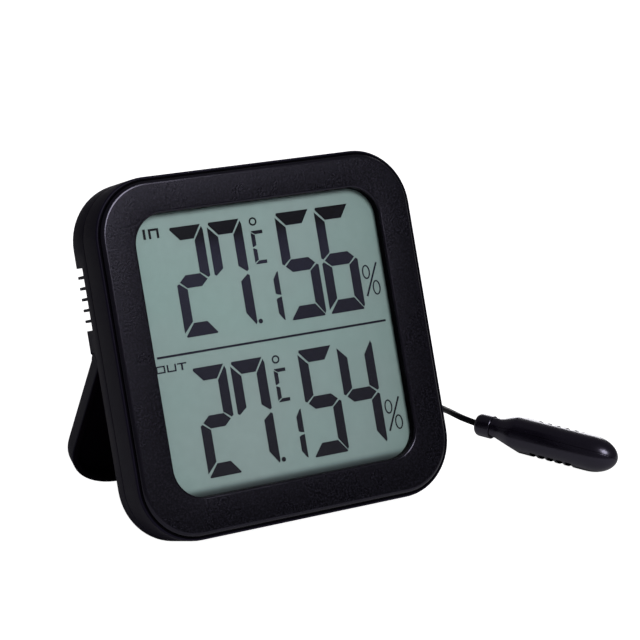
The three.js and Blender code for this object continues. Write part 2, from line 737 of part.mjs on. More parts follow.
// The stand's foot and the lower rear edge of the case both touch the ground. The line
// through the two in the case frame gives the angle that the case leans back by.
function rest() {
  const [cos, sin] = [Math.cos(openAngle), Math.sin(openAngle)];
  const half = standThick / 2;
  const reach = standBottom - pivotHeight;
  const turn = (y, z) => [pivotDepth + y * cos - z * sin, pivotHeight + y * sin + z * cos];
  const [footY, footZ] = turn(-half, reach);
  const [rearY, rearZ] = turn(half, reach);
  const [heelY, heelZ] = [recessDepth, -caseHeight / 2];
  const lean = Math.atan2(footZ - heelZ, footY - heelY);
  const lift = heelY * Math.sin(lean) - heelZ * Math.cos(lean);
  const front = -(caseHeight / 2 - rimWidth - bezelRound) * Math.sin(lean);
  const rear = rearY * Math.cos(lean) + rearZ * Math.sin(lean);
  return { lean, lift, shift: -(front + rear) / 2 };
}

const { lean, lift, shift } = rest();
const caseFrame = new THREE.Group();
caseFrame.rotation.x = -lean;
caseFrame.position.set(0, shift, lift);
caseFrame.add(
  frontBezel(), windowLens(), ...displayPieces(), frontShell(), ...electronics(),
  ...batteryPieces(), batteryDoor(), rearCover(), ...caseScrews(), ...buttons(), cableGland(),
  kickstand(),
);

const thermometer = new THREE.Group();
thermometer.add(caseFrame, probe(), ...cablePieces());

export default thermometer;
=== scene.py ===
"""The looks of the indoor and outdoor thermo-hygrometer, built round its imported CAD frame.

Pieces of the case are drawn in millimetres in the frame of the upright case: X to the right seen
from the front, Y from the front of the bezel towards the back, Z up, with the origin at the
middle of the bezel's front. CASE carries that frame to where the leaning case stands.
"""

import json
import math

import bmesh
import bpy
from mathutils import Matrix, Vector


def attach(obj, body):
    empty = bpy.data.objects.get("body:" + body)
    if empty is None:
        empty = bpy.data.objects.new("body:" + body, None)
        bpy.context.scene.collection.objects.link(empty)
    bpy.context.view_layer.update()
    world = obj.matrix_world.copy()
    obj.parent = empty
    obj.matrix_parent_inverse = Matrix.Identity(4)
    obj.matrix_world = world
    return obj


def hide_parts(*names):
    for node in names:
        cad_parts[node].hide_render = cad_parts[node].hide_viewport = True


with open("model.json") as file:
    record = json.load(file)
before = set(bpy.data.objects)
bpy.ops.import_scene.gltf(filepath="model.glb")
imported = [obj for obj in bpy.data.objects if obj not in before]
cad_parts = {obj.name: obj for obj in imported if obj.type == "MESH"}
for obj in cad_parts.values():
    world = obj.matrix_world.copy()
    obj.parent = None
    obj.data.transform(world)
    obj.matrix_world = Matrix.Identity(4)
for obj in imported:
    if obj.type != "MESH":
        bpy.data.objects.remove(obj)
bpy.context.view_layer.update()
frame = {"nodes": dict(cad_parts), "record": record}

MM = 0.001

# -------------------- driving dimensions, mm

CASE_WIDTH, CASE_HEIGHT, CASE_CORNER = 105, 106, 17.6
RIM_INSET = 1.2                 # the bezel sits this far inside the case outline
RIM_FRONT = 1.2                 # depth at which the case's rim starts
RIM_WALL = 1.05                 # the rim reaches in this far, almost to the bezel
SEAM_DEPTH, SEAM_SPACE, SEAM_EDGE = 10.6, 0.1, 0.15
GAP = 0.3
WALL = 1.8
BACK_DEPTH = 19.85
RECESS_DEPTH = 14.95
BACK_ROUND = 2.0

BEZEL_DEPTH = 3.2
PLATE_BACK = 4.9                # back of the front half's plate, which starts behind the bezel
PLATE_OPENING = (-43.8, 43.8, -45.6, 45.2, 1)           # left, right, low, high, corner
BEZEL_ROUND = 1.25              # outer edge of the bezel
BEZEL_LIP = 0.7                 # edge round the window
WINDOW_WIDTH, WINDOW_TOP, WINDOW_BOTTOM, WINDOW_CORNER = 81.6, 41.9, -40.9, 9.3
LENS_FRONT, LENS_BACK, LENS_SPACE = 2.0, 3.1, 0.04
LCD_FRONT, LCD_BACK = 3.5, 4.7
LCD_HALF, LCD_TOP, LCD_BOTTOM = 43.4, 44.8, -45.2
DRAWN_LEFT, DRAWN_RIGHT, DRAWN_TOP, DRAWN_BOTTOM = -40.1, 40.5, 41.4, -39.5

VENT_FIRST, VENT_SLOT, VENT_RIB, VENT_COUNT = 11.8, 2.4, 0.8, 6
VENT_REACH, VENT_INWARD, VENT_CORNER = 5.6, 7.5, 0.5

PIVOT_DEPTH, PIVOT_HEIGHT = 17.55, 2.8
STAND_THICK, STAND_HALF, STAND_CORNER = 4.6, 51.9, 20.5
STAND_BOTTOM = -53.8
STAND_PLATE, STAND_RIM = 1.6, 2.0
STAND_HOLLOW_TOP = -5.5         # upper edge of the stand's hollow, from the hinge axis
STAND_ROUND, STAND_LIP = 0.7, 0.35
POCKET_SPACE = 0.5              # round the stand's hinge bar
STAND_OPEN = math.radians(50.5)
LUG_AT, LUG_WIDTH, LUG_RADIUS, LUG_SPACE = 30, 6, 2, 0.6
PIN_RADIUS, PIN_HALF = 0.9, 8

DOOR_HALF, DOOR_BOTTOM, DOOR_TOP, DOOR_THICK = 27.6, 16.4, 30.4, 1.5
DOOR_SPACE, DOOR_CORNER, DOOR_ROUND = 0.4, 1.2, 0.3
GRIPS, GRIP_PITCH, GRIP_WIDTH, GRIP_DEEP = 5, 2, 0.8, 0.5
GRIP_LOW, GRIP_HIGH = DOOR_TOP - 5.5, DOOR_TOP - 1.8
ARROW_BASE, ARROW_POINT, ARROW_HALF, ARROW_DEEP = DOOR_TOP - 8.2, DOOR_TOP - 10.4, 1.6, 0.3
BATTERY_BOX = (-29.5, 29.5, 6.3, 18.15, 14.6, 32.2)     # left, right, front, back, low, high
BATTERY_ROOM = (-26, 26, 7.3, 25, 17.6, 29.2)
BUTTONS = {"left": -16, "middle": 0, "right": 16}
BUTTON_HEIGHT, BUTTON_PROUD = 10.9, 0.5
BUTTON_HALF, BUTTON_TALL, BUTTON_CORNER, BUTTON_DOME = 3, 1.95, 1.9, 0.6
BUTTON_SPACE = 0.4
FLANGE_HALF, FLANGE_TALL, FLANGE_CORNER, FLANGE_THICK = 3.9, 2.8, 2.4, 1.1
STEM_RADIUS, STEM_END = 1.2, 12.8
SCREW_OUT, SCREW_HEIGHTS, SCREW_SINK = 47.3, (37, -34), 1.8
SCREW_BOSS, SCREW_HEAD, SCREW_HOLE = 3, 2.6, 1.3        # radii
KEYHOLE_HEIGHT, KEYHOLE_RADIUS, KEYHOLE_SLOT, KEYHOLE_TOP = 40, 3.8, 1.7, 45
GLAND_X, GLAND_Z, GLAND_LENGTH, GLAND_HOLE = 38.5, 12, 8, 2.3
BEYOND = 1                      # how far a cutting tool reaches past a surface

CABLE_RADIUS = 1.05
PROBE_START = Vector((86.7, 6.7, 5.9))
PROBE_TIP = Vector((108.6, -39, 5.9))
PROBE_ROLL = math.radians(31)
PROBE_RADIUS, NECK_RADIUS = 5.85, 3.75
NECK_START, NECK_END, SHOULDER, TIP_LENGTH = 6.0, 7.6, 7.6, 9.6
FLAT_START, FLAT_RISE, FLAT_END = 9.0, 0.285, 20        # inclined flats on the neck
CAP_LENGTH, CAP_MOUTH = 5.9, 1.3
PROBE_SLOTS, PROBE_SLOT_FIRST, PROBE_SLOT_PITCH = 5, 23.2, 3.2
PROBE_SLOT, PROBE_SLOT_HALF, PROBE_SLOT_DEEP = 2.2, 2.6, 1.6

# The mount on the back gives the lean of the case and where it stands.
WALL_POINT = Vector((24, BACK_DEPTH, 42))


def case_matrix():
    mount = next(m for m in frame["record"]["mounts"] if m["name"] == "wall_face")
    lean = math.atan2(-mount["axis"][2], mount["axis"][1])
    turn = Matrix.Rotation(-lean, 4, "X")
    place = Vector(mount["pos_m"]) - turn @ (WALL_POINT * MM)
    return Matrix.Translation(place) @ turn


CASE = case_matrix()
STAND = (CASE @ Matrix.Translation(Vector((0, PIVOT_DEPTH, PIVOT_HEIGHT)) * MM)
         @ Matrix.Rotation(STAND_OPEN, 4, "X"))


def probe_matrix():
    """The probe lies along its local Z, with the crest of its upper half on local X."""
    ahead = (PROBE_TIP - PROBE_START).normalized()
    across = Vector((0, 0, 1)).cross(ahead).normalized()
    upward = ahead.cross(across)
    crest = upward * math.cos(PROBE_ROLL) + across * math.sin(PROBE_ROLL)
    third = ahead.cross(crest)
    turn = Matrix((crest, third, ahead)).transposed().to_4x4()
    return Matrix.Translation(PROBE_START * MM) @ turn


PROBE = probe_matrix()
PROBE_LENGTH = (PROBE_TIP - PROBE_START).length


# -------------------- camera

def make_camera():
    yaw, pitch, roll = math.radians(30.83), math.radians(18.91), math.radians(1.55)
    data = bpy.data.cameras.new("camera")
    data.sensor_width = 36
    data.lens = 131.12
    data.clip_start, data.clip_end = 0.05, 20
    camera = bpy.data.objects.new("camera", data)
    turn = (Matrix.Rotation(-yaw, 4, "Z") @ Matrix.Rotation(math.radians(90) - pitch, 4, "X")
            @ Matrix.Rotation(roll, 4, "Z"))
    camera.matrix_world = Matrix.Translation((-0.32188, -0.57556, 0.28318)) @ turn
    bpy.context.scene.collection.objects.link(camera)
    bpy.context.scene.camera = camera


make_camera()


# -------------------- materials

def new_material(name, color, roughness, **sockets):
    """A Principled material, with its node tree and its shader."""
    material = bpy.data.materials.new(name)
    material.use_nodes = True
    tree = material.node_tree
    shader = tree.nodes["Principled BSDF"]
    shader.inputs["Base Color"].default_value = (*color, 1)
    shader.inputs["Roughness"].default_value = roughness
    for socket, value in sockets.items():
        shader.inputs[socket.replace("_", " ")].default_value = value
    return material, tree, shader


def add_node(tree, kind, **sockets):
    """A node whose sockets are given a value or linked to another node's output."""
    node = tree.nodes.new(kind)
    for name, value in sockets.items():
        socket = node.inputs[name.replace("_", " ")]
        if isinstance(value, bpy.types.NodeSocket):
            tree.links.new(value, socket)
        else:
            socket.default_value = value
    return node


def add_noise(tree, scale, detail=3.0, rough=0.5, stretch=(1, 1, 1)):
    """Noise in the object's own coordinates, with the scale in features per metre."""
    place = add_node(tree, "ShaderNodeTexCoord").outputs["Object"]
    mapping = add_node(tree, "ShaderNodeMapping", Vector=place, Scale=stretch)
    noise = add_node(tree, "ShaderNodeTexNoise", Vector=mapping.outputs["Vector"], Scale=scale,
                     Detail=detail, Roughness=rough)
    return noise.outputs["Fac"]


def add_ramp(tree, source, stops):
    ramp = add_node(tree, "ShaderNodeValToRGB", Fac=source)
    elements = ramp.color_ramp.elements
    for element, (place, color) in zip(elements, (stops[0], stops[-1])):
        element.position, element.color = place, (*color, 1)
    for place, color in stops[1:-1]:
        elements.new(place).color = (*color, 1)
    return ramp.outputs["Color"]


def multiply(tree, first, second):
    mix = tree.nodes.new("ShaderNodeMix")
    mix.data_type, mix.blend_type = "RGBA", "MULTIPLY"
    mix.inputs["Factor"].default_value = 1.0
    tree.links.new(first, mix.inputs["A"])
    tree.links.new(second, mix.inputs["B"])
    return mix.outputs["Result"]


def add_range(tree, source, low, high, start=0.3, stop=0.7):
    spread = add_node(tree, "ShaderNodeMapRange", Value=source, From_Min=start, From_Max=stop,
                      To_Min=low, To_Max=high)
    return spread.outputs["Result"]


def add_bump(tree, shader, source, distance):
    bump = add_node(tree, "ShaderNodeBump", Height=source, Distance=distance, Strength=1.0)
    tree.links.new(bump.outputs["Normal"], shader.inputs["Normal"])


def mix_shaders(tree, share, first, second, end="Material Output"):
    """Sends the node at the end a mix of two shaders, with the share that the second has."""
    mix = add_node(tree, "ShaderNodeMixShader", Fac=share)
    tree.links.new(first, mix.inputs[1])
    tree.links.new(second, mix.inputs[2])
    tree.links.new(mix.outputs["Shader"], tree.nodes[end].inputs["Surface"])


BLUISH = (0.8, 0.76, 1, 1)      # tint of the gloss on the black mouldings


def object_axes(tree):
    """The object's own coordinates, one by one."""
    place = add_node(tree, "ShaderNodeTexCoord").outputs["Object"]
    return add_node(tree, "ShaderNodeSeparateXYZ", Vector=place).outputs


def over_display(tree):
    """Shares from left to right across the display and upwards over the window."""
    axes = object_axes(tree)
    across = add_range(tree, axes["X"], 0, 1, -LCD_HALF * MM, LCD_HALF * MM)
    height = add_range(tree, axes["Z"], 0, 1, WINDOW_BOTTOM * MM, WINDOW_TOP * MM)
    return axes, across, height


def plastic(name, color, roughness, grain=0.0, grain_scale=2600, spread=0.06, shade=0.25,
            shine=0.3):
    """A moulded plastic: fine grain, and slow changes of gloss and tone across the surface."""
    material, tree, shader = new_material(name, color, roughness, Specular_IOR_Level=shine,
                                          Specular_Tint=BLUISH)
    slow = add_noise(tree, 60, 4)
    darker = tuple(c * (1 - shade) for c in color)
    lighter = tuple(c * (1 + shade) for c in color)
    tone = add_ramp(tree, slow, [(0.3, darker), (0.7, lighter)])
    tree.links.new(tone, shader.inputs["Base Color"])
    gloss = add_range(tree, slow, roughness - spread, roughness + spread)
    tree.links.new(gloss, shader.inputs["Roughness"])
    if grain:
        add_bump(tree, shader, add_noise(tree, grain_scale, 2, 0.6), grain)
    return material


def metal(name, color, roughness, stretch=(1, 1, 1)):
    material, tree, shader = new_material(name, color, roughness, Metallic=1.0)
    brushed = add_noise(tree, 900, 3, 0.6, stretch)
    gloss = add_range(tree, brushed, roughness * 0.7, roughness * 1.4)
    tree.links.new(gloss, shader.inputs["Roughness"])
    add_bump(tree, shader, brushed, 0.00001)
    return material


def spark_texture():
    """Spark-eroded black plastic: small pits with glossier tops, over a slow change of tone."""
    color = (0.009, 0.0088, 0.0115)
    material, tree, shader = new_material("textured_black", color, 0.3, Specular_IOR_Level=0.185,
                                          Specular_Tint=BLUISH)
    slow = add_noise(tree, 45, 4)
    fine = add_noise(tree, 1500, 4, 0.7)
    tone = add_ramp(tree, fine, [
        (0.45, (0.0001, 0.0001, 0.0003)), (0.62, (0.0108, 0.0102, 0.0158)),
    ])
    tree.links.new(tone, shader.inputs["Base Color"])
    gloss = add_range(tree, slow, 0.25, 0.3)
    tree.links.new(gloss, shader.inputs["Roughness"])
    add_bump(tree, shader, fine, 0.00014)
    return material


def display_glass():
    """Grey-green mottled liquid crystal on its silver film, with painted shade: paler at the left,
    darker along the bottom and right edges.
    """
    material, tree, shader = new_material("display", (0.24, 0.31, 0.29), 0.5,
                                          Specular_IOR_Level=0.1)
    axes, across, height = over_display(tree)
    # painted shade: the crystal grows darker from left to right, as the light falls
    base = add_ramp(tree, across, [
        (0.0, (0.43, 0.57, 0.555)), (0.35, (0.435, 0.57, 0.555)),
        (0.7, (0.405, 0.53, 0.52)), (1.0, (0.345, 0.46, 0.445)),
    ])
    # painted shade along the bottom edge, under the bezel's lip
    lower = add_ramp(tree, height, [
        (0.0, (0.1, 0.1, 0.11)), (0.010, (0.22, 0.22, 0.23)), (0.017, (0.42, 0.43, 0.44)),
        (0.024, (0.76, 0.77, 0.78)), (0.034, (1, 1, 1)),
    ])
    base = multiply(tree, base, lower)
    # painted shade: a thin dark band along the right edge, beside the inner wall
    right = add_range(tree, axes["X"], 0, 1, -WINDOW_WIDTH / 2 * MM, WINDOW_WIDTH / 2 * MM)
    edge = add_ramp(tree, right, [(0.99, (1, 1, 1)), (1.0, (0.4, 0.42, 0.42))])
    base = multiply(tree, base, edge)
    mottle = add_noise(tree, 320, 4, 0.6)
    blotch = add_noise(tree, 28, 2, 0.5)
    tint = add_ramp(tree, blotch, [(0.35, (1, 1, 1)), (0.7, (1.05, 0.98, 1))])
    base = multiply(tree, base, tint)
    speck = add_ramp(tree, mottle, [(0.3, (0.965, 0.965, 0.965)), (0.7, (1.03, 1.03, 1.03))])
    tree.links.new(multiply(tree, base, speck), shader.inputs["Base Color"])
    return material


def clear_window():
    """The clear moulding over the display: see-through, with the gloss of its surface."""
    material = bpy.data.materials.new("clear_window")
    material.use_nodes = True
    tree = material.node_tree
    tree.nodes.remove(tree.nodes["Principled BSDF"])
    through = add_node(tree, "ShaderNodeBsdfTransparent", Color=(0.97, 0.985, 0.98, 1))
    gloss = add_node(tree, "ShaderNodeBsdfGlossy", Roughness=0.12)
    fresnel = add_node(tree, "ShaderNodeFresnel", IOR=1.49)
    mix_shaders(tree, fresnel.outputs["Fac"], through.outputs["BSDF"], gloss.outputs["BSDF"])
    return material


def segment_ink():
    """Ink of the segments with painted shade: darkest along the top and paler towards the left."""
    material, tree, shader = new_material("segment_ink", (0.017, 0.016, 0.027), 0.5,
                                          Specular_IOR_Level=0.05)
    _, across, height = over_display(tree)
    # painted shade: the ink darkens towards the top
    tone = add_ramp(tree, height, [
        (0.0, (0.022, 0.02, 0.029)), (0.5, (0.026, 0.024, 0.044)),
        (0.8, (0.03, 0.028, 0.056)), (0.86, (0.02, 0.018, 0.042)), (0.905, (0, 0, 0.005)),
        (1.0, (0, 0, 0.005)),
    ])
    # painted shade: the ink darkens towards the right
    painted_shade_across = add_ramp(tree, across, [(0.3, (1, 1, 1)), (1.0, (0.6, 0.6, 0.62))])
    tree.links.new(multiply(tree, tone, painted_shade_across), shader.inputs["Base Color"])
    return material


def circuit_board():
    material, tree, shader = new_material("circuit_board", (0.02, 0.12, 0.045), 0.35)
    tracks = add_noise(tree, 500, 1, 0.4, (1, 1, 0.15))
    tone = add_ramp(tree, tracks, [(0.45, (0.012, 0.085, 0.03)), (0.55, (0.03, 0.17, 0.065))])
    tree.links.new(tone, shader.inputs["Base Color"])
    return material


SPARK = spark_texture()
BEZEL_EDGE = plastic("polished_black", (0.004, 0.0036, 0.0062), 0.22, 0.00002, 1500, 0.03,
                     shine=0.5)
# painted shade: a darker, duller copy of the black plastic, put on recess walls, the rim's ledge,
# the window's edges and the probe's slots
PAINTED_SHADE_BLACK = plastic("painted_shade_black", (0.0016, 0.0013, 0.0026), 0.6, 0.00003, spread=0.05,
                       shine=0.02)
CASE_BLACK = plastic("case_black", (0.0098, 0.0082, 0.0175), 0.4, 0.000035, shine=0.1)
# painted shade: a darker, duller copy of the case black for the stand's hollow, which faces the
# case
STAND_HOLLOW_SHADE = plastic("stand_hollow_shade", (0.006, 0.003, 0.0075), 0.45, 0.00004, 2400, shine=0.03)
# a lighter black for faces that look backwards: partly a finer finish, partly painted light for
# the dimly lit back
BACK_FINISH_AND_LIGHT = plastic("back_finish_and_light", (0.021, 0.0195, 0.024), 0.46, 0.00006, 1900, 0.07, 0.2)
RUBBER = plastic("button_rubber", (0.045, 0.045, 0.048), 0.62, 0.00003, 1800, 0.05)
SHEATH = plastic("cable_sheath", (0.004, 0.0036, 0.0055), 0.5, 0.00002, 1200, shine=0.05)
PROBE_BLACK = plastic("probe_black", (0.0058, 0.0046, 0.0086), 0.24, 0.000012, 1400, 0.03,
                      shine=0.75)
DISPLAY = display_glass()
WINDOW = clear_window()
INK = segment_ink()
FILM = metal("silver_film", (0.6, 0.63, 0.62), 0.4)
WHITE = plastic("white_moulding", (0.7, 0.7, 0.67), 0.45, 0.00002, 1500, 0.05, 0.04)
CONDUCTIVE = plastic("conductive_rubber", (0.05, 0.05, 0.055), 0.6, 0.00003, 3000, 0.05)
BOARD = circuit_board()
EPOXY = plastic("epoxy_black", (0.01, 0.01, 0.011), 0.2, 0.00003, 300, 0.03)
STEEL = metal("bright_steel", (0.6, 0.61, 0.63), 0.28)
JACKET = metal("cell_jacket", (0.16, 0.22, 0.27), 0.35)


# -------------------- mesh helpers

def new_object(name, mesh, place):
    made = bpy.data.objects.new(name, mesh)
    bpy.context.scene.collection.objects.link(made)
    made.matrix_world = place
    return made


def from_bmesh(name, bm, place, materials=()):
    """An object from a bmesh in millimetres, with its faces turned outwards."""
    bmesh.ops.recalc_face_normals(bm, faces=bm.faces)
    bmesh.ops.scale(bm, vec=(MM, MM, MM), verts=bm.verts)
    mesh = bpy.data.meshes.new(name)
    bm.to_mesh(mesh)
    bm.free()
    for material in materials:
        mesh.materials.append(material)
    return new_object(name, mesh, place)


def outline(width, height, corner, middle=0.0, steps=16):
    """Points (x, z) round a rectangle with round corners, the same number for any size."""
    points = []
    across, up = width / 2 - corner, height / 2 - corner
    for number, (sx, sz) in enumerate(((1, 1), (-1, 1), (-1, -1), (1, -1))):
        for i in range(steps + 1):
            turn = math.radians(90) * (number + i / steps)
            points.append((sx * across + corner * math.cos(turn),
                           middle + sz * up + corner * math.sin(turn)))
    return points


def box_ring(left, right, bottom, top, corner, depth, steps=16):
    points = outline(right - left, top - bottom, corner, (top + bottom) / 2, steps)
    middle = (left + right) / 2
    return [(x + middle, depth, z) for x, z in points]


def case_ring(inset, depth):
    half, tall = CASE_WIDTH / 2 - inset, CASE_HEIGHT / 2 - inset
    return box_ring(-half, half, -tall, tall, CASE_CORNER - inset, depth)


def window_ring(outward, depth):
    half = WINDOW_WIDTH / 2 + outward
    return box_ring(-half, half, WINDOW_BOTTOM - outward, WINDOW_TOP + outward,
                    WINDOW_CORNER + outward, depth)


def quarter(steps=6):
    """Sine and cosine pairs round a quarter turn."""
    turns = [math.radians(90) * i / steps for i in range(steps + 1)]
    return [(math.sin(turn), math.cos(turn)) for turn in turns]


def circle(steps, start=0.0):
    """Cosine and sine pairs round a full turn."""
    turns = [math.tau * (i + start) / steps for i in range(steps)]
    return [(math.cos(turn), math.sin(turn)) for turn in turns]


def add_skin(bm, rows, closed, strips=None):
    """Faces between rows of vertices, with ends unless the last row joins the first."""
    for number, (row, following) in enumerate(zip(rows, rows[1:] + rows[:int(closed)])):
        for i, vertex in enumerate(row):
            j = (i + 1) % len(row)
            face = bm.faces.new((vertex, row[j], following[j], following[i]))
            face.material_index = strips[number] if strips else 0
    if not closed:
        bm.faces.new(rows[0])
        bm.faces.new(rows[-1])


def loft(name, rings, place, closed=False, materials=(), strips=None):
    """A skin over rings of points. strips gives each strip's material number."""
    bm = bmesh.new()
    add_skin(bm, [[bm.verts.new(point) for point in ring] for ring in rings], closed, strips)
    return from_bmesh(name, bm, place, materials)


def smooth(obj, angle=30):
    """Smooth shading that keeps creases sharper than the angle, in degrees."""
    mesh = obj.data
    bm = bmesh.new()
    bm.from_mesh(mesh)
    for face in bm.faces:
        face.smooth = True
    limit = math.radians(angle)
    for edge in bm.edges:
        edge.smooth = edge.is_manifold and edge.calc_face_angle(0) < limit
    bm.to_mesh(mesh)
    bm.free()


def apply(obj):
    """Makes the object's modifiers part of its mesh."""
    graph = bpy.context.evaluated_depsgraph_get()
    mesh = bpy.data.meshes.new_from_object(obj.evaluated_get(graph), depsgraph=graph)
    obj.modifiers.clear()
    obj.data = mesh


def combine(obj, tool, how="DIFFERENCE"):
    change = obj.modifiers.new("combine", "BOOLEAN")
    change.operation, change.solver, change.object = how, "EXACT", tool
    apply(obj)
    bpy.data.objects.remove(tool)


def add_rounding(obj, width, angle=35):
    """Modifiers that round the sharp edges, with the width in millimetres."""
    obj.modifiers.new("weld", "WELD").merge_threshold = 0.002 * MM
    bevel = obj.modifiers.new("soften", "BEVEL")
    bevel.width, bevel.segments = width * MM, 2
    bevel.limit_method, bevel.angle_limit = "ANGLE", math.radians(angle)


def finish_mesh(obj, width, angle=35, crease=30):
    """Rounds the sharp edges for good and sets smooth shading."""
    add_rounding(obj, width, angle)
    apply(obj)
    smooth(obj, crease)


def keep_node(node, material):
    """A CAD node that stays: smooth shading, fine edge rounding and its material."""
    obj = frame["nodes"][node]
    obj.data.materials.clear()
    obj.data.materials.append(material)
    add_rounding(obj, 0.12)
    for polygon in obj.data.polygons:
        polygon.use_smooth = True


# -------------------- cable

LEAD_FROM_CASE = [
    (38.5, 16.9, 55.35), (38.5, 21, 53.6), (38.7, 27, 50.2), (39.2, 33, 45.2), (40, 38, 38.6),
    (41, 42, 30.6), (42.2, 45.6, 22), (43.5, 49.2, 13.4), (45, 53.4, 6.6), (46.3, 59, 2.6),
    (47.2, 66, 1.3), (47.9, 73, 1.2),
]
LEAD_TO_PROBE = [
    (12.1, 73, 7.2), (12.4, 66, 6), (14.6, 59.6, 4.4), (19, 54.2, 2.8), (26, 50.4, 1.6),
    (34.6, 48.2, 1.2), (44, 47, 1.2), (54, 46.4, 1.2), (64, 46.4, 1.2), (74, 46.2, 1.2),
    (83, 44.2, 1.2), (88.8, 39.8, 1.2), (90.4, 34.4, 1.3), (89.2, 29.2, 2.4), (87.2, 25, 3.9),
    (85.6, 21, 5.1), (84.6, 17, 5.9), (84.5, 13, 6.2), (85.4, 9.6, 6.1), (86.45, 7.1, 5.9),
]
COIL_X, COIL_Y = 30, 76
COIL_RADII = (15.55, 13.45, 11.35, 9.25)
COIL_LAYERS = 4
COIL_PITCH = 2 * CABLE_RADIUS
COIL_BASE = CABLE_RADIUS + 0.12 # height of the lowest turns' middle
SHIFT = 30                      # degrees over which the cable moves over to its next place
COIL_STEP = 15                  # degrees from one point of the coil to the next
TIE_THICK, TIE_WIDTH, TIE_ANGLE = 0.6, 3.2, 90
TIE_LIFT = 0.7                  # the turns rise this much over the tie
TIE_REACH = 26                  # degrees either side of the tie that the rise takes


def coil_places():
    """Where the cable moves over: (angle, radius, height), with the angle in degrees.

    Each layer is a flat spiral. The cable climbs to the next layer just before the angle
    where it moves over in the layer below, so no two turns meet.
    """
    places = [(SHIFT, COIL_RADII[0], COIL_BASE)]
    angle = SHIFT
    for layer in range(COIL_LAYERS):
        height = COIL_BASE + layer * COIL_PITCH
        radii = COIL_RADII if layer % 2 == 0 else COIL_RADII[::-1]
        if layer:
            angle += 360 - SHIFT
            places.append((angle, radii[0], height))
            angle -= SHIFT
        for radius in radii[1:]:
            angle += 360
            places.append((angle, radius, height))
    return places, angle + 360 - SHIFT


def ease(share):
    share = min(max(share, 0), 1)
    return share * share * (3 - 2 * share)


def coil_points():
    places, end = coil_places()
    entry = COIL_RADII[0] + COIL_PITCH
    places.append((end - SHIFT, entry, COIL_BASE + (COIL_LAYERS - 1) * COIL_PITCH))
    points = []
    for number in range(1, round(end / COIL_STEP)):
        angle = number * COIL_STEP
        radius, height = entry, COIL_BASE
        for start, to_radius, to_height in places:
            share = ease((angle - start) / SHIFT)
            radius += (to_radius - radius) * share
            height += (to_height - height) * share
        from_tie = abs((angle - TIE_ANGLE + 180) % 360 - 180)
        height += TIE_LIFT * ease(1 - from_tie / TIE_REACH)
        turn = math.radians(angle)
        points.append((COIL_X + radius * math.cos(turn), COIL_Y + radius * math.sin(turn), height))
    return points


def make_cable():
    points = LEAD_FROM_CASE + coil_points() + LEAD_TO_PROBE
    curve = bpy.data.curves.new("cable", "CURVE")
    curve.dimensions = "3D"
    spline = curve.splines.new("BEZIER")
    spline.bezier_points.add(len(points) - 1)
    for knot, point in zip(spline.bezier_points, points):
        knot.co = Vector(point) * MM
        knot.handle_left_type = knot.handle_right_type = "AUTO"
    spline.resolution_u = 4
    curve.bevel_depth = CABLE_RADIUS * MM
    curve.bevel_resolution = 3
    curve.use_fill_caps = True
    curve.materials.append(SHEATH)
    cable = bpy.data.objects.new("cable", curve)
    bpy.context.scene.collection.objects.link(cable)
    return cable


# -------------------- front of the case

def make_bezel():
    rings = [case_ring(RIM_INSET, BEZEL_DEPTH)]
    strips = [1]
    for s, c in quarter(8):
        rings.append(case_ring(RIM_INSET + BEZEL_ROUND * (1 - c), BEZEL_ROUND * (1 - s)))
        strips.append(1)
    strips[-1] = 0
    for s, c in quarter(6):
        rings.append(window_ring(BEZEL_LIP * (1 - s), BEZEL_LIP * (1 - c)))
        strips.append(1)
    rings.append(window_ring(0, BEZEL_DEPTH))
    # painted shade: the inner wall round the window takes the darker, duller black
    strips[-1] = 2
    strips.append(1)
    bezel = loft("bezel", rings, CASE, closed=True, materials=(SPARK, BEZEL_EDGE, PAINTED_SHADE_BLACK),
                 strips=strips)
    smooth(bezel)
    return bezel


def make_front_shell():
    """The rim round the bezel, the side of the front half and the plate behind the bezel."""
    edge, plate_front = 0.55, BEZEL_DEPTH + GAP
    rings = [
        case_ring(WALL, SEAM_DEPTH), case_ring(SEAM_EDGE, SEAM_DEPTH),
        case_ring(0, SEAM_DEPTH - SEAM_EDGE),
    ]
    for s, c in quarter(4):
        rings.append(case_ring(edge * (1 - c), RIM_FRONT + edge * (1 - s)))
    rings += [
        case_ring(RIM_WALL, RIM_FRONT), case_ring(RIM_WALL, plate_front),
        box_ring(*PLATE_OPENING, plate_front), box_ring(*PLATE_OPENING, PLATE_BACK),
        case_ring(WALL, PLATE_BACK),
    ]
    # painted shade: the rim's ledge takes the darker, duller black, for the dark groove beside the
    # bezel
    ledge = 7
    strips = [int(number == ledge) for number in range(len(rings))]
    shell = loft("case_front", rings, CASE, closed=True, materials=(CASE_BLACK, PAINTED_SHADE_BLACK),
                 strips=strips)
    smooth(shell)
    return shell


def make_window():
    rings = [window_ring(-LENS_SPACE, depth) for depth in (LENS_FRONT, LENS_BACK)]
    # painted shade: the window's sides take the darker, duller black, so its edge looks in shade
    window = loft("window", rings, CASE, materials=(WINDOW, PAINTED_SHADE_BLACK), strips=[1])
    smooth(window, 20)
    return window


def make_display():
    edge = 0.2
    rings = [
        box_ring(-LCD_HALF + inset, LCD_HALF - inset, LCD_BOTTOM + inset, LCD_TOP - inset, 0.6,
                 depth, 4)
        for inset, depth in ((edge, LCD_FRONT), (0, LCD_FRONT + edge), (0, LCD_BACK - edge),
                             (edge, LCD_BACK))
    ]
    display = loft("display", rings, CASE, materials=(DISPLAY,))
    smooth(display, 20)
    return display


# -------------------- back of the case

def box_tool(left, right, front, back, low, high, place=CASE):
    """A block given by its extents across, in depth and upwards."""
    bm = bmesh.new()
    bmesh.ops.create_cube(bm, size=1)
    near, far = Vector((left, front, low)), Vector((right, back, high))
    bmesh.ops.scale(bm, vec=far - near, verts=bm.verts)
    bmesh.ops.translate(bm, vec=(far + near) / 2, verts=bm.verts)
    return from_bmesh("block", bm, place)


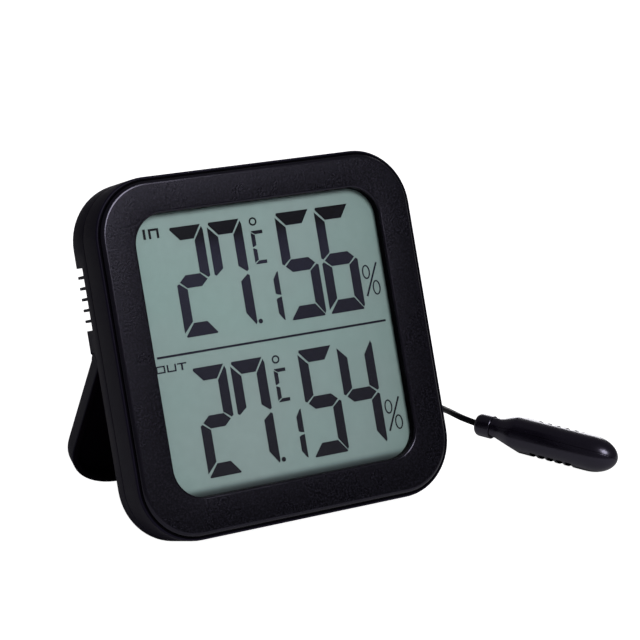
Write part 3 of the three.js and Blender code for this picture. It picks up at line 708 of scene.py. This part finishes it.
def rod_tool(along, middle, radius, start, end, sides=40, place=CASE):
    """A rod along X or Y, with its middle given by the other two coordinates."""
    flat = [(middle[0] + radius * c, middle[1] + radius * s) for c, s in circle(sides)]
    rings = [[(reach, a, b) if along == "X" else (a, reach, b) for a, b in flat]
             for reach in (start, end)]
    return loft("rod", rings, place)


def slot_tool(left, right, low, high, corner, front, back):
    """A block with round corners, for cutting slots from the back."""
    rings = [box_ring(left, right, low, high, corner, depth, 6) for depth in (front, back)]
    return loft("slot", rings, CASE)


def paint_back_lighter(obj, number):
    """Gives the faces that look backwards another of the object's materials: a lighter black,
    partly a finer finish, partly painted light for the dimly lit back.
    """
    for polygon in obj.data.polygons:
        if polygon.normal.y > 0.6:
            polygon.material_index = number


def cover_body():
    """The outside of the rear half, hollowed, with the step that the stand folds into."""
    front = SEAM_DEPTH + SEAM_SPACE
    rings = [case_ring(SEAM_EDGE, front), case_ring(0, front + SEAM_EDGE)]
    for s, c in quarter(8):
        rings.append(case_ring(BACK_ROUND * (1 - c), BACK_DEPTH - BACK_ROUND * (1 - s)))
    cover = loft("case_rear", rings, CASE, materials=(CASE_BLACK, BACK_FINISH_AND_LIGHT))
    far, pocket = CASE_WIDTH, STAND_THICK / 2 + POCKET_SPACE
    combine(cover, box_tool(-far, far, RECESS_DEPTH, far, -far, PIVOT_HEIGHT))
    combine(cover, rod_tool("X", (PIVOT_DEPTH, PIVOT_HEIGHT), pocket, -far, far))
    inner_top = PIVOT_HEIGHT + pocket + WALL
    upper = loft("upper", [case_ring(WALL, 0), case_ring(WALL, BACK_DEPTH - WALL)], CASE)
    combine(upper, box_tool(-far, far, -1, far, -far, inner_top))
    combine(cover, upper)
    combine(cover, loft("lower", [case_ring(WALL, 0), case_ring(WALL, RECESS_DEPTH - WALL)], CASE))
    return cover


def add_lugs(cover):
    """The two lugs that hold the stand's pins."""
    for side in (-1, 1):
        left, right = side * LUG_AT - LUG_WIDTH / 2, side * LUG_AT + LUG_WIDTH / 2
        axis = (PIVOT_DEPTH, PIVOT_HEIGHT)
        combine(cover, rod_tool("X", axis, LUG_RADIUS, left, right), "UNION")
        combine(cover, box_tool(left, right, RECESS_DEPTH - BEYOND, PIVOT_DEPTH,
                                PIVOT_HEIGHT - LUG_RADIUS, PIVOT_HEIGHT + LUG_RADIUS), "UNION")
        combine(cover, rod_tool("X", axis, PIN_RADIUS + GAP, left - BEYOND, right + BEYOND))


def add_screw_seats(cover, side):
    """Bosses for the case screws of one side, with their holes and the seats of their heads."""
    for height in SCREW_HEIGHTS:
        seat = (BACK_DEPTH if height > 0 else RECESS_DEPTH) - SCREW_SINK
        middle, out = (side * SCREW_OUT, height), BACK_DEPTH + BEYOND
        combine(cover, rod_tool("Y", middle, SCREW_BOSS, SEAM_DEPTH + GAP, seat + 0.1), "UNION")
        combine(cover, rod_tool("Y", middle, SCREW_HOLE, 0, out))
        combine(cover, rod_tool("Y", middle, SCREW_HEAD, seat, out))


def cut_vents(cover, side):
    """The slots that wrap round the rear edge of one side."""
    half, outside = CASE_WIDTH / 2, 3
    ends = sorted((side * (half + outside), side * (half - VENT_INWARD)))
    for i in range(VENT_COUNT):
        low = VENT_FIRST + i * (VENT_SLOT + VENT_RIB)
        combine(cover, slot_tool(*ends, low, low + VENT_SLOT, VENT_CORNER,
                                 BACK_DEPTH - VENT_REACH, BACK_DEPTH + BEYOND))


def make_rear_cover():
    """The rear half with its lugs, screws' seats, battery room, vents, keyhole and openings."""
    cover = cover_body()
    add_lugs(cover)
    out = BACK_DEPTH + BEYOND
    combine(cover, box_tool(*BATTERY_BOX), "UNION")
    combine(cover, box_tool(*BATTERY_ROOM))
    combine(cover, slot_tool(-DOOR_HALF - DOOR_SPACE, DOOR_HALF + DOOR_SPACE,
                             DOOR_BOTTOM - DOOR_SPACE, DOOR_TOP + DOOR_SPACE, DOOR_CORNER + GAP,
                             BACK_DEPTH - DOOR_THICK - GAP, out))
    for side in (-1, 1):
        add_screw_seats(cover, side)
        cut_vents(cover, side)
    inside = BACK_DEPTH - WALL - BEYOND
    combine(cover, rod_tool("Y", (0, KEYHOLE_HEIGHT), KEYHOLE_RADIUS, inside, out))
    combine(cover, slot_tool(-KEYHOLE_SLOT, KEYHOLE_SLOT, KEYHOLE_HEIGHT,
                             KEYHOLE_TOP + KEYHOLE_SLOT, KEYHOLE_SLOT - 0.01, inside, out))
    half, tall = BUTTON_HALF + BUTTON_SPACE, BUTTON_TALL + BUTTON_SPACE
    for x in BUTTONS.values():
        combine(cover, slot_tool(x - half, x + half, BUTTON_HEIGHT - tall, BUTTON_HEIGHT + tall,
                                 BUTTON_CORNER + BUTTON_SPACE, inside, out))
    combine(cover, rod_tool("Y", (GLAND_X, GLAND_Z), GLAND_HOLE, inside, out))
    finish_mesh(cover, 0.22)
    # painted light, with a finer finish, on the cover's backward faces
    paint_back_lighter(cover, 1)
    return cover


def make_door():
    """The battery door, with a ribbed thumb grip above an arrow that points at its hinge."""
    edge = DOOR_ROUND
    rings = [box_ring(-DOOR_HALF + inset, DOOR_HALF - inset, DOOR_BOTTOM + inset,
                      DOOR_TOP - inset, DOOR_CORNER - inset, depth, 6)
             for inset, depth in ((0, BACK_DEPTH - DOOR_THICK), (0, BACK_DEPTH - edge),
                                  (edge * 0.3, BACK_DEPTH - edge * 0.3), (edge, BACK_DEPTH))]
    # the door takes the lighter back black: a finer finish with painted light
    door = loft("battery_lid", rings, CASE, materials=(BACK_FINISH_AND_LIGHT,))
    out = BACK_DEPTH + BEYOND
    for i in range(GRIPS):
        left = (i - (GRIPS - 1) / 2) * GRIP_PITCH - GRIP_WIDTH / 2
        combine(door, slot_tool(left, left + GRIP_WIDTH, GRIP_LOW, GRIP_HIGH,
                                GRIP_WIDTH / 2 - 0.01, BACK_DEPTH - GRIP_DEEP, out))
    rings = [[(-ARROW_HALF, depth, ARROW_BASE), (0, depth, ARROW_POINT),
              (ARROW_HALF, depth, ARROW_BASE)] for depth in (BACK_DEPTH - ARROW_DEEP, out)]
    combine(door, loft("arrow", rings, CASE))
    finish_mesh(door, 0.08)
    return door


def make_button(side, x):
    """A rubber key: a domed cap, the flange that holds it in and the stem that presses."""
    inner, top = BACK_DEPTH - WALL - GAP, BACK_DEPTH + BUTTON_PROUD

    def ring(half, tall, corner, depth):
        return box_ring(x - half, x + half, BUTTON_HEIGHT - tall, BUTTON_HEIGHT + tall, corner,
                        depth, 10)

    flange = (FLANGE_HALF, FLANGE_TALL, FLANGE_CORNER)
    rings = [ring(*flange, inner - FLANGE_THICK), ring(*flange, inner),
             ring(BUTTON_HALF, BUTTON_TALL, BUTTON_CORNER, inner)]
    for s, c in quarter(6):
        inset = BUTTON_DOME * 1.6 * (1 - c)
        rings.append(ring(BUTTON_HALF - inset, BUTTON_TALL - inset, BUTTON_CORNER - inset,
                          top - BUTTON_DOME * (1 - s)))
    button = loft("key_" + side, rings, CASE, materials=(RUBBER,))
    stem = rod_tool("Y", (x, BUTTON_HEIGHT), STEM_RADIUS, STEM_END, inner - 0.9, 24)
    combine(button, stem, "UNION")
    smooth(button)
    return button


# -------------------- kickstand

def stand_ring(inset, depth, top=0.0, steps=16):
    """The outline of the stand in its own frame, where the hinge axis is the local X axis."""
    half, corner = STAND_HALF - inset, STAND_CORNER - inset
    bottom = STAND_BOTTOM - PIVOT_HEIGHT + inset
    points = [(-half, depth, top)]
    for first, sign in ((180, -1), (270, 1)):
        for i in range(steps + 1):
            turn = math.radians(first + 90 * i / steps)
            points.append((sign * (half - corner) + corner * math.cos(turn), depth,
                           bottom + corner + corner * math.sin(turn)))
    return points + [(half, depth, top)]


def make_stand():
    """The stand: a plate with a rim, hollow towards the case, on the bar of its hinge."""
    half = STAND_THICK / 2
    outside = [stand_ring(STAND_ROUND * (1 - s), half - STAND_ROUND * (1 - c))
               for s, c in quarter(5)]
    outside += [stand_ring(STAND_LIP * (1 - c), -half + STAND_LIP * (1 - s))
                for s, c in quarter(4)]
    inside = [stand_ring(STAND_RIM - STAND_LIP * (1 - s), -half + STAND_LIP * (1 - c),
                         STAND_HOLLOW_TOP) for s, c in quarter(4)]
    inside.append(stand_ring(STAND_RIM, half - STAND_PLATE, STAND_HOLLOW_TOP))
    # painted shade: the hollow's walls, and below its floor, take the darker, duller black
    strips = [0] * (len(outside) - 1) + [1] * len(inside)
    stand = loft("folding_stand", outside + inside, STAND,
                 materials=(CASE_BLACK, STAND_HOLLOW_SHADE, BACK_FINISH_AND_LIGHT), strips=strips)
    stand.data.polygons[-1].material_index = 1
    combine(stand, rod_tool("X", (0, 0), half, -STAND_HALF, STAND_HALF, 48, STAND), "UNION")
    reach, pin = LUG_WIDTH / 2 + LUG_SPACE, PIN_HALF + GAP
    for side in (-1, 1):
        x = side * LUG_AT
        combine(stand, box_tool(x - reach, x + reach, -half - BEYOND, half + BEYOND,
                                -half - LUG_SPACE, half + BEYOND, STAND))
        combine(stand, rod_tool("X", (0, 0), PIN_RADIUS + GAP, x - pin, x + pin, 32, STAND))
    finish_mesh(stand, 0.15)
    # painted light, with a finer finish, on the stand's backward faces
    paint_back_lighter(stand, 2)
    return stand


# -------------------- display figures

# Figures are drawn in thousandths of the display's drawn area, from its top left corner downwards.
FIGURE_THICK = 0.05
FIGURE_DEPTH = LCD_FRONT - 0.02
ROW_STEP = 511                  # from the upper row to the lower one
BAR_ACROSS, BAR_DOWN = 39, 49   # thickness of upright and level bars
BAR_GAP = 5


def on_display(u, v):
    x = DRAWN_LEFT + (DRAWN_RIGHT - DRAWN_LEFT) * u / 1000
    z = DRAWN_TOP - (DRAWN_TOP - DRAWN_BOTTOM) * v / 1000
    return x, z


def add_plate(bm, points):
    """A thin plate with the outline of the points, which are in thousandths of the drawn area."""
    flat = [on_display(u, v) for u, v in points]
    front = [bm.verts.new((x, FIGURE_DEPTH - FIGURE_THICK, z)) for x, z in flat]
    back = [bm.verts.new((x, FIGURE_DEPTH, z)) for x, z in flat]
    add_skin(bm, [front, back], False)


def add_ring(bm, u, v, half_u, half_v, line, steps=32):
    """An oval line round (u, v)."""
    rows = []
    for inner, depth in ((0, 0), (0, 1), (1, 1), (1, 0)):
        row = []
        for c, s in circle(steps):
            x, z = on_display(u + (half_u - inner * line) * c, v + (half_v - inner * line) * s)
            row.append(bm.verts.new((x, FIGURE_DEPTH - FIGURE_THICK * (1 - depth), z)))
        rows.append(row)
    add_skin(bm, rows, True)


def bars(left, top, width, height, across=BAR_ACROSS, down=BAR_DOWN, space=BAR_GAP):
    """The outlines of the seven bars of a figure."""
    right, bottom = left + width, top + height
    middle = (top + bottom) / 2
    inner_left, inner_right = left + across, right - across
    half = down / 2
    clip = space * 1.6
    tip = across * 0.2
    return {
        "a": [(left + clip, top), (right - clip, top), (inner_right - space / 2, top + down),
              (inner_left + space / 2, top + down), (left + space, top + clip)],
        "d": [(left + clip, bottom), (left + space, bottom - clip / 2),
              (inner_left + space / 2, bottom - down), (inner_right - space / 2, bottom - down),
              (right - space, bottom - clip / 2), (right - clip, bottom)],
        "g": [(left + tip + space, middle), (inner_left, middle - half + 1),
              (inner_right, middle - half + 1), (right - tip - space, middle),
              (inner_right, middle + half - 1), (inner_left, middle + half - 1)],
        "f": [(left, top + 2 * clip), (inner_left, top + down + space * 1.4),
              (inner_left, middle - half - space * 0.8), (left + tip, middle - space),
              (left, middle - 2 * space)],
        "e": [(left, middle + 2 * space), (left + tip, middle + space),
              (inner_left, middle + half + space * 0.8),
              (inner_left, bottom - down - space * 1.2), (left, bottom - 2 * clip)],
        "b": [(right - space, top + clip), (right, top + 2 * clip + space),
              (right, middle - 2 * space), (right - tip, middle - space),
              (inner_right, middle - half - space * 0.8),
              (inner_right, top + down + space * 1.4)],
        "c": [(right, middle + 2 * space), (right, bottom - 2 * clip),
              (right - space, bottom - clip), (inner_right, bottom - down - space * 1.2),
              (inner_right, middle + half + space * 0.8), (right - tip, middle + space)],
    }


FIGURE_BARS = {"2": "abged", "7": "abcf", "5": "afgcd", "6": "afgedc", "4": "fgbc"}


def add_figure(bm, figure, left, width, top, height=399):
    outlines = bars(left, top, width, height)
    for bar in FIGURE_BARS[figure]:
        add_plate(bm, outlines[bar])


def add_celsius(bm, down):
    """The degree ring, the small C, the decimal point and the slim figure one."""
    add_ring(bm, 488, 67 + down, 16, 15.5, 6)
    outlines = bars(472, 101, 76, 123, 16, 13, 2)
    for bar in "afed":
        cut = [(min(u, 521), v + down) for u, v in outlines[bar]]
        add_plate(bm, cut)
    for tip, base, low in ((260 + down, 348 + down, 1), (442 + down, 354 + down, -1)):
        add_plate(bm, [(557, tip), (557, base), (540, base - 4 * low), (534, base - 8 * low),
                       (534, base - 60 * low), (551, tip + 3 * low)])
    add_plate(bm, [(454 + 9 * c, 431 + down + 9 * s) for c, s in circle(20)])


def add_percent(bm, down):
    add_ring(bm, 928, 313 + down, 17, 27, 5.5)
    add_ring(bm, 963, 376 + down, 17, 28, 5.5)
    add_plate(bm, [(974, 281 + down), (981, 283 + down), (921, 405 + down), (914, 402 + down)])


def add_box(bm, left, right, top, bottom):
    add_plate(bm, [(left, top), (right, top), (right, bottom), (left, bottom)])


def add_labels(bm):
    """The words for indoors and outdoors."""
    line, top, bottom = 9, 42, 79
    boxes = [(42, 43 + line, top, bottom), (64, 105, top + 1, top + line),
             (64, 64 + line, top + line, bottom), (105 - line, 105, top + line, bottom)]
    line, top, bottom = 5, 532, 559
    upper, lower = top + line, bottom - line
    boxes += [(5, 42, top, upper), (5, 42, lower, bottom), (5, 6 + line, upper, lower),
              (41 - line, 42, upper, lower), (49, 50 + line, top, lower),
              (85 - line, 86, top, lower), (49, 86, lower, bottom), (91, 128, top, upper),
              (106, 113, upper, bottom)]
    for box in boxes:
        add_box(bm, *box)


def make_figures():
    bm = bmesh.new()
    places = ((143, 138), (299, 141), (581, 151), (748, 153))
    for row, figures in enumerate(("2756", "2754")):
        down = row * ROW_STEP
        for figure, (left, width) in zip(figures, places):
            add_figure(bm, figure, left, width, 49 + down)
        add_celsius(bm, down)
        add_percent(bm, down)
    add_box(bm, 17, 978, 499, 507)
    add_labels(bm)
    return from_bmesh("display_figures", bm, CASE, (INK,))


# -------------------- probe

def probe_rings(steps=96):
    """The outside of the probe without its flats: a neck, a shoulder and a long round tip."""
    tip_start, edge = PROBE_LENGTH - TIP_LENGTH, 0.25
    rows = [(NECK_RADIUS - edge, NECK_START), (NECK_RADIUS, NECK_START + edge),
            (NECK_RADIUS, NECK_END)]
    for i in range(1, 17):
        radius = NECK_RADIUS + (PROBE_RADIUS - NECK_RADIUS) * ease(i / 16)
        rows.append((radius, NECK_END + SHOULDER * i / 16))
    rows.append((PROBE_RADIUS, tip_start))
    for s, c in quarter(22)[1:-1]:
        rows.append((PROBE_RADIUS * c, tip_start + TIP_LENGTH * s))
    return [[(radius * c, radius * s, along) for c, s in circle(steps, 0.5)]
            for radius, along in rows]


def flat_tool(side):
    """A wedge that cuts the inclined flat of a half's neck."""
    low, before, out, reach = NECK_RADIUS - 0.25, 6, 12, 9
    points = [(low - FLAT_RISE * before, FLAT_START - before),
              (low + FLAT_RISE * (FLAT_END - FLAT_START), FLAT_END),
              (out, FLAT_END), (out, FLAT_START - before)]
    return loft("flat_tool", [[(side * x, y, z) for x, z in points] for y in (-reach, reach)],
                PROBE)


def shade_slots(half, side):
    """Paints shade on the walls and lips of a half's slots: they take the darker, duller of its
    materials, which also hides highlights on their edges.
    """
    reach, tall = (PROBE_SLOTS - 1) * PROBE_SLOT_PITCH + PROBE_SLOT, PROBE_SLOT_HALF + 0.2
    for polygon in half.data.polygons:
        x, y, z = polygon.center / MM
        along = z - PROBE_SLOT_FIRST + PROBE_SLOT
        if abs(y) > tall or not 0 < along < reach + PROBE_SLOT:
            continue
        turned_away = abs(polygon.normal.z) > 0.2 or side * polygon.normal.x < 0.85
        if turned_away or math.hypot(x, y) < PROBE_RADIUS - 0.5:
            polygon.material_index = 1


def make_probe_half(name, side):
    half = loft(name, probe_rings(), PROBE, materials=(PROBE_BLACK, PAINTED_SHADE_BLACK))
    far = 2 * PROBE_LENGTH
    ends = sorted((side * SEAM_SPACE / 2, side * far))
    combine(half, box_tool(*ends, -far, far, -far, far, PROBE), "INTERSECT")
    combine(half, flat_tool(side))
    ends = sorted((side * (PROBE_RADIUS - PROBE_SLOT_DEEP), side * far))
    for i in range(PROBE_SLOTS):
        low = PROBE_SLOT_FIRST + PROBE_SLOT_PITCH * i - PROBE_SLOT / 2
        combine(half, box_tool(*ends, -PROBE_SLOT_HALF, PROBE_SLOT_HALF, low, low + PROBE_SLOT,
                               PROBE))
    finish_mesh(half, 0.16, 24, 32)
    shade_slots(half, side)
    return half


def turned(name, profile, place, material, sides=48):
    """A profile of (radius, height) turned about the local Z axis, closed at both ends."""
    rings = [[(radius * c, radius * s, height) for c, s in circle(sides)]
             for radius, height in profile]
    made = loft(name, rings, place, materials=(material,))
    smooth(made)
    return made


def make_probe_gland():
    face, rounding = 2.3, 1.7
    profile = [(CAP_MOUTH, 0), (face, 0)]
    profile += [(face + (NECK_RADIUS - face) * s, rounding * (1 - c)) for s, c in quarter(8)[1:]]
    profile += [(NECK_RADIUS - inset, CAP_LENGTH - back)
                for inset, back in ((0, 0.25), (0.12, 0.06), (0.4, 0))]
    return turned("probe_cap", profile, PROBE, PROBE_BLACK, 64)


def make_case_gland():
    """The ribbed rubber boot round the cable where it leaves the case."""
    place = (CASE @ Matrix.Translation(Vector((GLAND_X, BACK_DEPTH, GLAND_Z)) * MM)
             @ Matrix.Rotation(math.radians(-90), 4, "X"))
    neck, collar = 1.95, 2.6
    profile = [(neck, -1.6), (neck, 0.35), (collar, 0.4), (collar, 1.1), (collar - 0.2, 1.3)]
    ribs, rib_pitch, first_rib, taper = 5, 1.25, 2.35, 0.17
    for i in range(ribs):
        low, wide = 1.6 + i * rib_pitch, first_rib - taper * i
        profile += [(wide - 0.35, low), (wide - 0.35, low + 0.35), (wide, low + 0.5),
                    (wide, low + 1.05), (wide - 0.3, low + 1.2)]
    profile += [(CAP_MOUTH, GLAND_LENGTH)]
    return turned("cable_boot", profile, place, RUBBER)


def make_tie():
    """The rubber band round the coil's section."""
    inner, outer, height = 8, 16.8, 8.8         # of the coil's section
    near, far = COIL_Y + inner - GAP - TIE_THICK, COIL_Y + outer + GAP + TIE_THICK
    top = height + GAP + TIE_THICK
    rows = []
    for inset in (0, TIE_THICK):
        shape = outline(far - near - 2 * inset, top - 2 * inset, 1.6 - inset, top / 2, 8)
        for side in ((-1, 1) if inset == 0 else (1, -1)):
            rows.append([(COIL_X + side * TIE_WIDTH / 2, y + (near + far) / 2, z)
                         for y, z in shape])
    tie = loft("coil_band", rows, Matrix.Identity(4), closed=True, materials=(RUBBER,))
    finish_mesh(tie, 0.15)
    return tie


# -------------------- assembly

def finish_piece(piece, body, slot, *nodes):
    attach(piece, body)
    if nodes:
        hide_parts(*nodes)
    return piece


finish_piece(make_bezel(), "case", "bezel_black", "front_bezel")
finish_piece(make_front_shell(), "case", "case_black", "front_shell")
finish_piece(make_window(), "case", "window_clear", "window_lens")
finish_piece(make_display(), "case", "display_grey", "lcd_cell")
finish_piece(make_figures(), "case", "display_grey")

finish_piece(make_rear_cover(), "case", "case_black", "rear_cover")
finish_piece(make_stand(), "stand", "case_black", "kickstand")
finish_piece(make_door(), "door", "case_black", "battery_door")
for side, x in BUTTONS.items():
    finish_piece(make_button(side, x), "key_" + side, "button_rubber", "button_" + side)

cable = finish_piece(make_cable(), "case", "cable_black",
                     "cable_lead_case", "cable_coil", "cable_lead_probe")
upper = finish_piece(make_probe_half("probe_upper", 1), "case", "probe_black",
                     "probe_shell_upper")
lower = finish_piece(make_probe_half("probe_lower", -1), "case", "probe_black",
                     "probe_shell_lower")
cap = finish_piece(make_probe_gland(), "case", "probe_black", "probe_gland")
boot = finish_piece(make_case_gland(), "case", "cable_black", "cable_gland")
band = finish_piece(make_tie(), "case", "cable_black", "coil_tie")

NODE_MATERIALS = {
    "lcd_reflector_film": FILM, "lcd_holder": WHITE, "lcd_connector_strip": CONDUCTIVE,
    "main_board": BOARD, "probe_board": BOARD, "chip_blob": EPOXY, "indoor_thermistor": EPOXY,
    "probe_thermistor": EPOXY, "indoor_humidity_sensor": WHITE, "probe_humidity_sensor": WHITE,
    "battery_cell": JACKET,
}
for subpart in frame["record"]["subparts"]:
    if not frame["nodes"][subpart["node"]].hide_render:
        keep_node(subpart["node"], NODE_MATERIALS.get(subpart["node"], STEEL))


# -------------------- floor and light

def make_floor():
    """The white ground, which gives off light for the camera only and so lights nothing."""
    bm = bmesh.new()
    bmesh.ops.create_circle(bm, cap_ends=True, segments=96, radius=6)
    mesh = bpy.data.meshes.new("floor")
    bm.to_mesh(mesh)
    bm.free()
    material, tree, shader = new_material("floor", (0.8, 0.8, 0.8), 0.9, Specular_IOR_Level=0.0)
    glow = add_node(tree, "ShaderNodeEmission", Strength=1.0)
    both = add_node(tree, "ShaderNodeAddShader")
    tree.links.new(shader.outputs["BSDF"], both.inputs[0])
    tree.links.new(glow.outputs["Emission"], both.inputs[1])
    sight = add_node(tree, "ShaderNodeLightPath").outputs["Is Camera Ray"]
    mix_shaders(tree, sight, shader.outputs["BSDF"], both.outputs["Shader"])
    mesh.materials.append(material)
    floor = new_object("floor", mesh, Matrix.Translation((0, 0, -0.0001)))


def make_light(name, place, aim, width, height, power):
    data = bpy.data.lights.new(name, "AREA")
    data.shape, data.size, data.size_y = "RECTANGLE", width, height
    data.energy = power
    light = bpy.data.objects.new(name, data)
    light.location = place
    light.rotation_mode = "QUATERNION"
    light.rotation_quaternion = (Vector(aim) - Vector(place)).to_track_quat("-Z", "Y")
    bpy.context.scene.collection.objects.link(light)


def make_world():
    """A weak, cool light from all round, behind a backdrop that looks as white as the floor."""
    world = bpy.data.worlds.new("studio")
    world.use_nodes = True
    tree = world.node_tree
    light = tree.nodes["Background"]
    light.inputs["Color"].default_value = (0.94, 0.9, 1, 1)
    light.inputs["Strength"].default_value = 0.1
    backdrop = add_node(tree, "ShaderNodeBackground", Color=(1, 1, 1, 1))
    sight = add_node(tree, "ShaderNodeLightPath").outputs["Is Camera Ray"]
    mix_shaders(tree, sight, light.outputs["Background"], backdrop.outputs["Background"],
                "World Output")
    bpy.context.scene.world = world


make_floor()
make_world()
make_light("key", (0.06, -0.37, 0.4), (0, 0, 0.05), 0.2, 0.2, 1.4)
make_light("back", (0.75, 0.95, 0.25), (0, 0.03, 0.05), 0.6, 0.5, 4.5)
bpy.context.scene.view_settings.view_transform = "Standard"
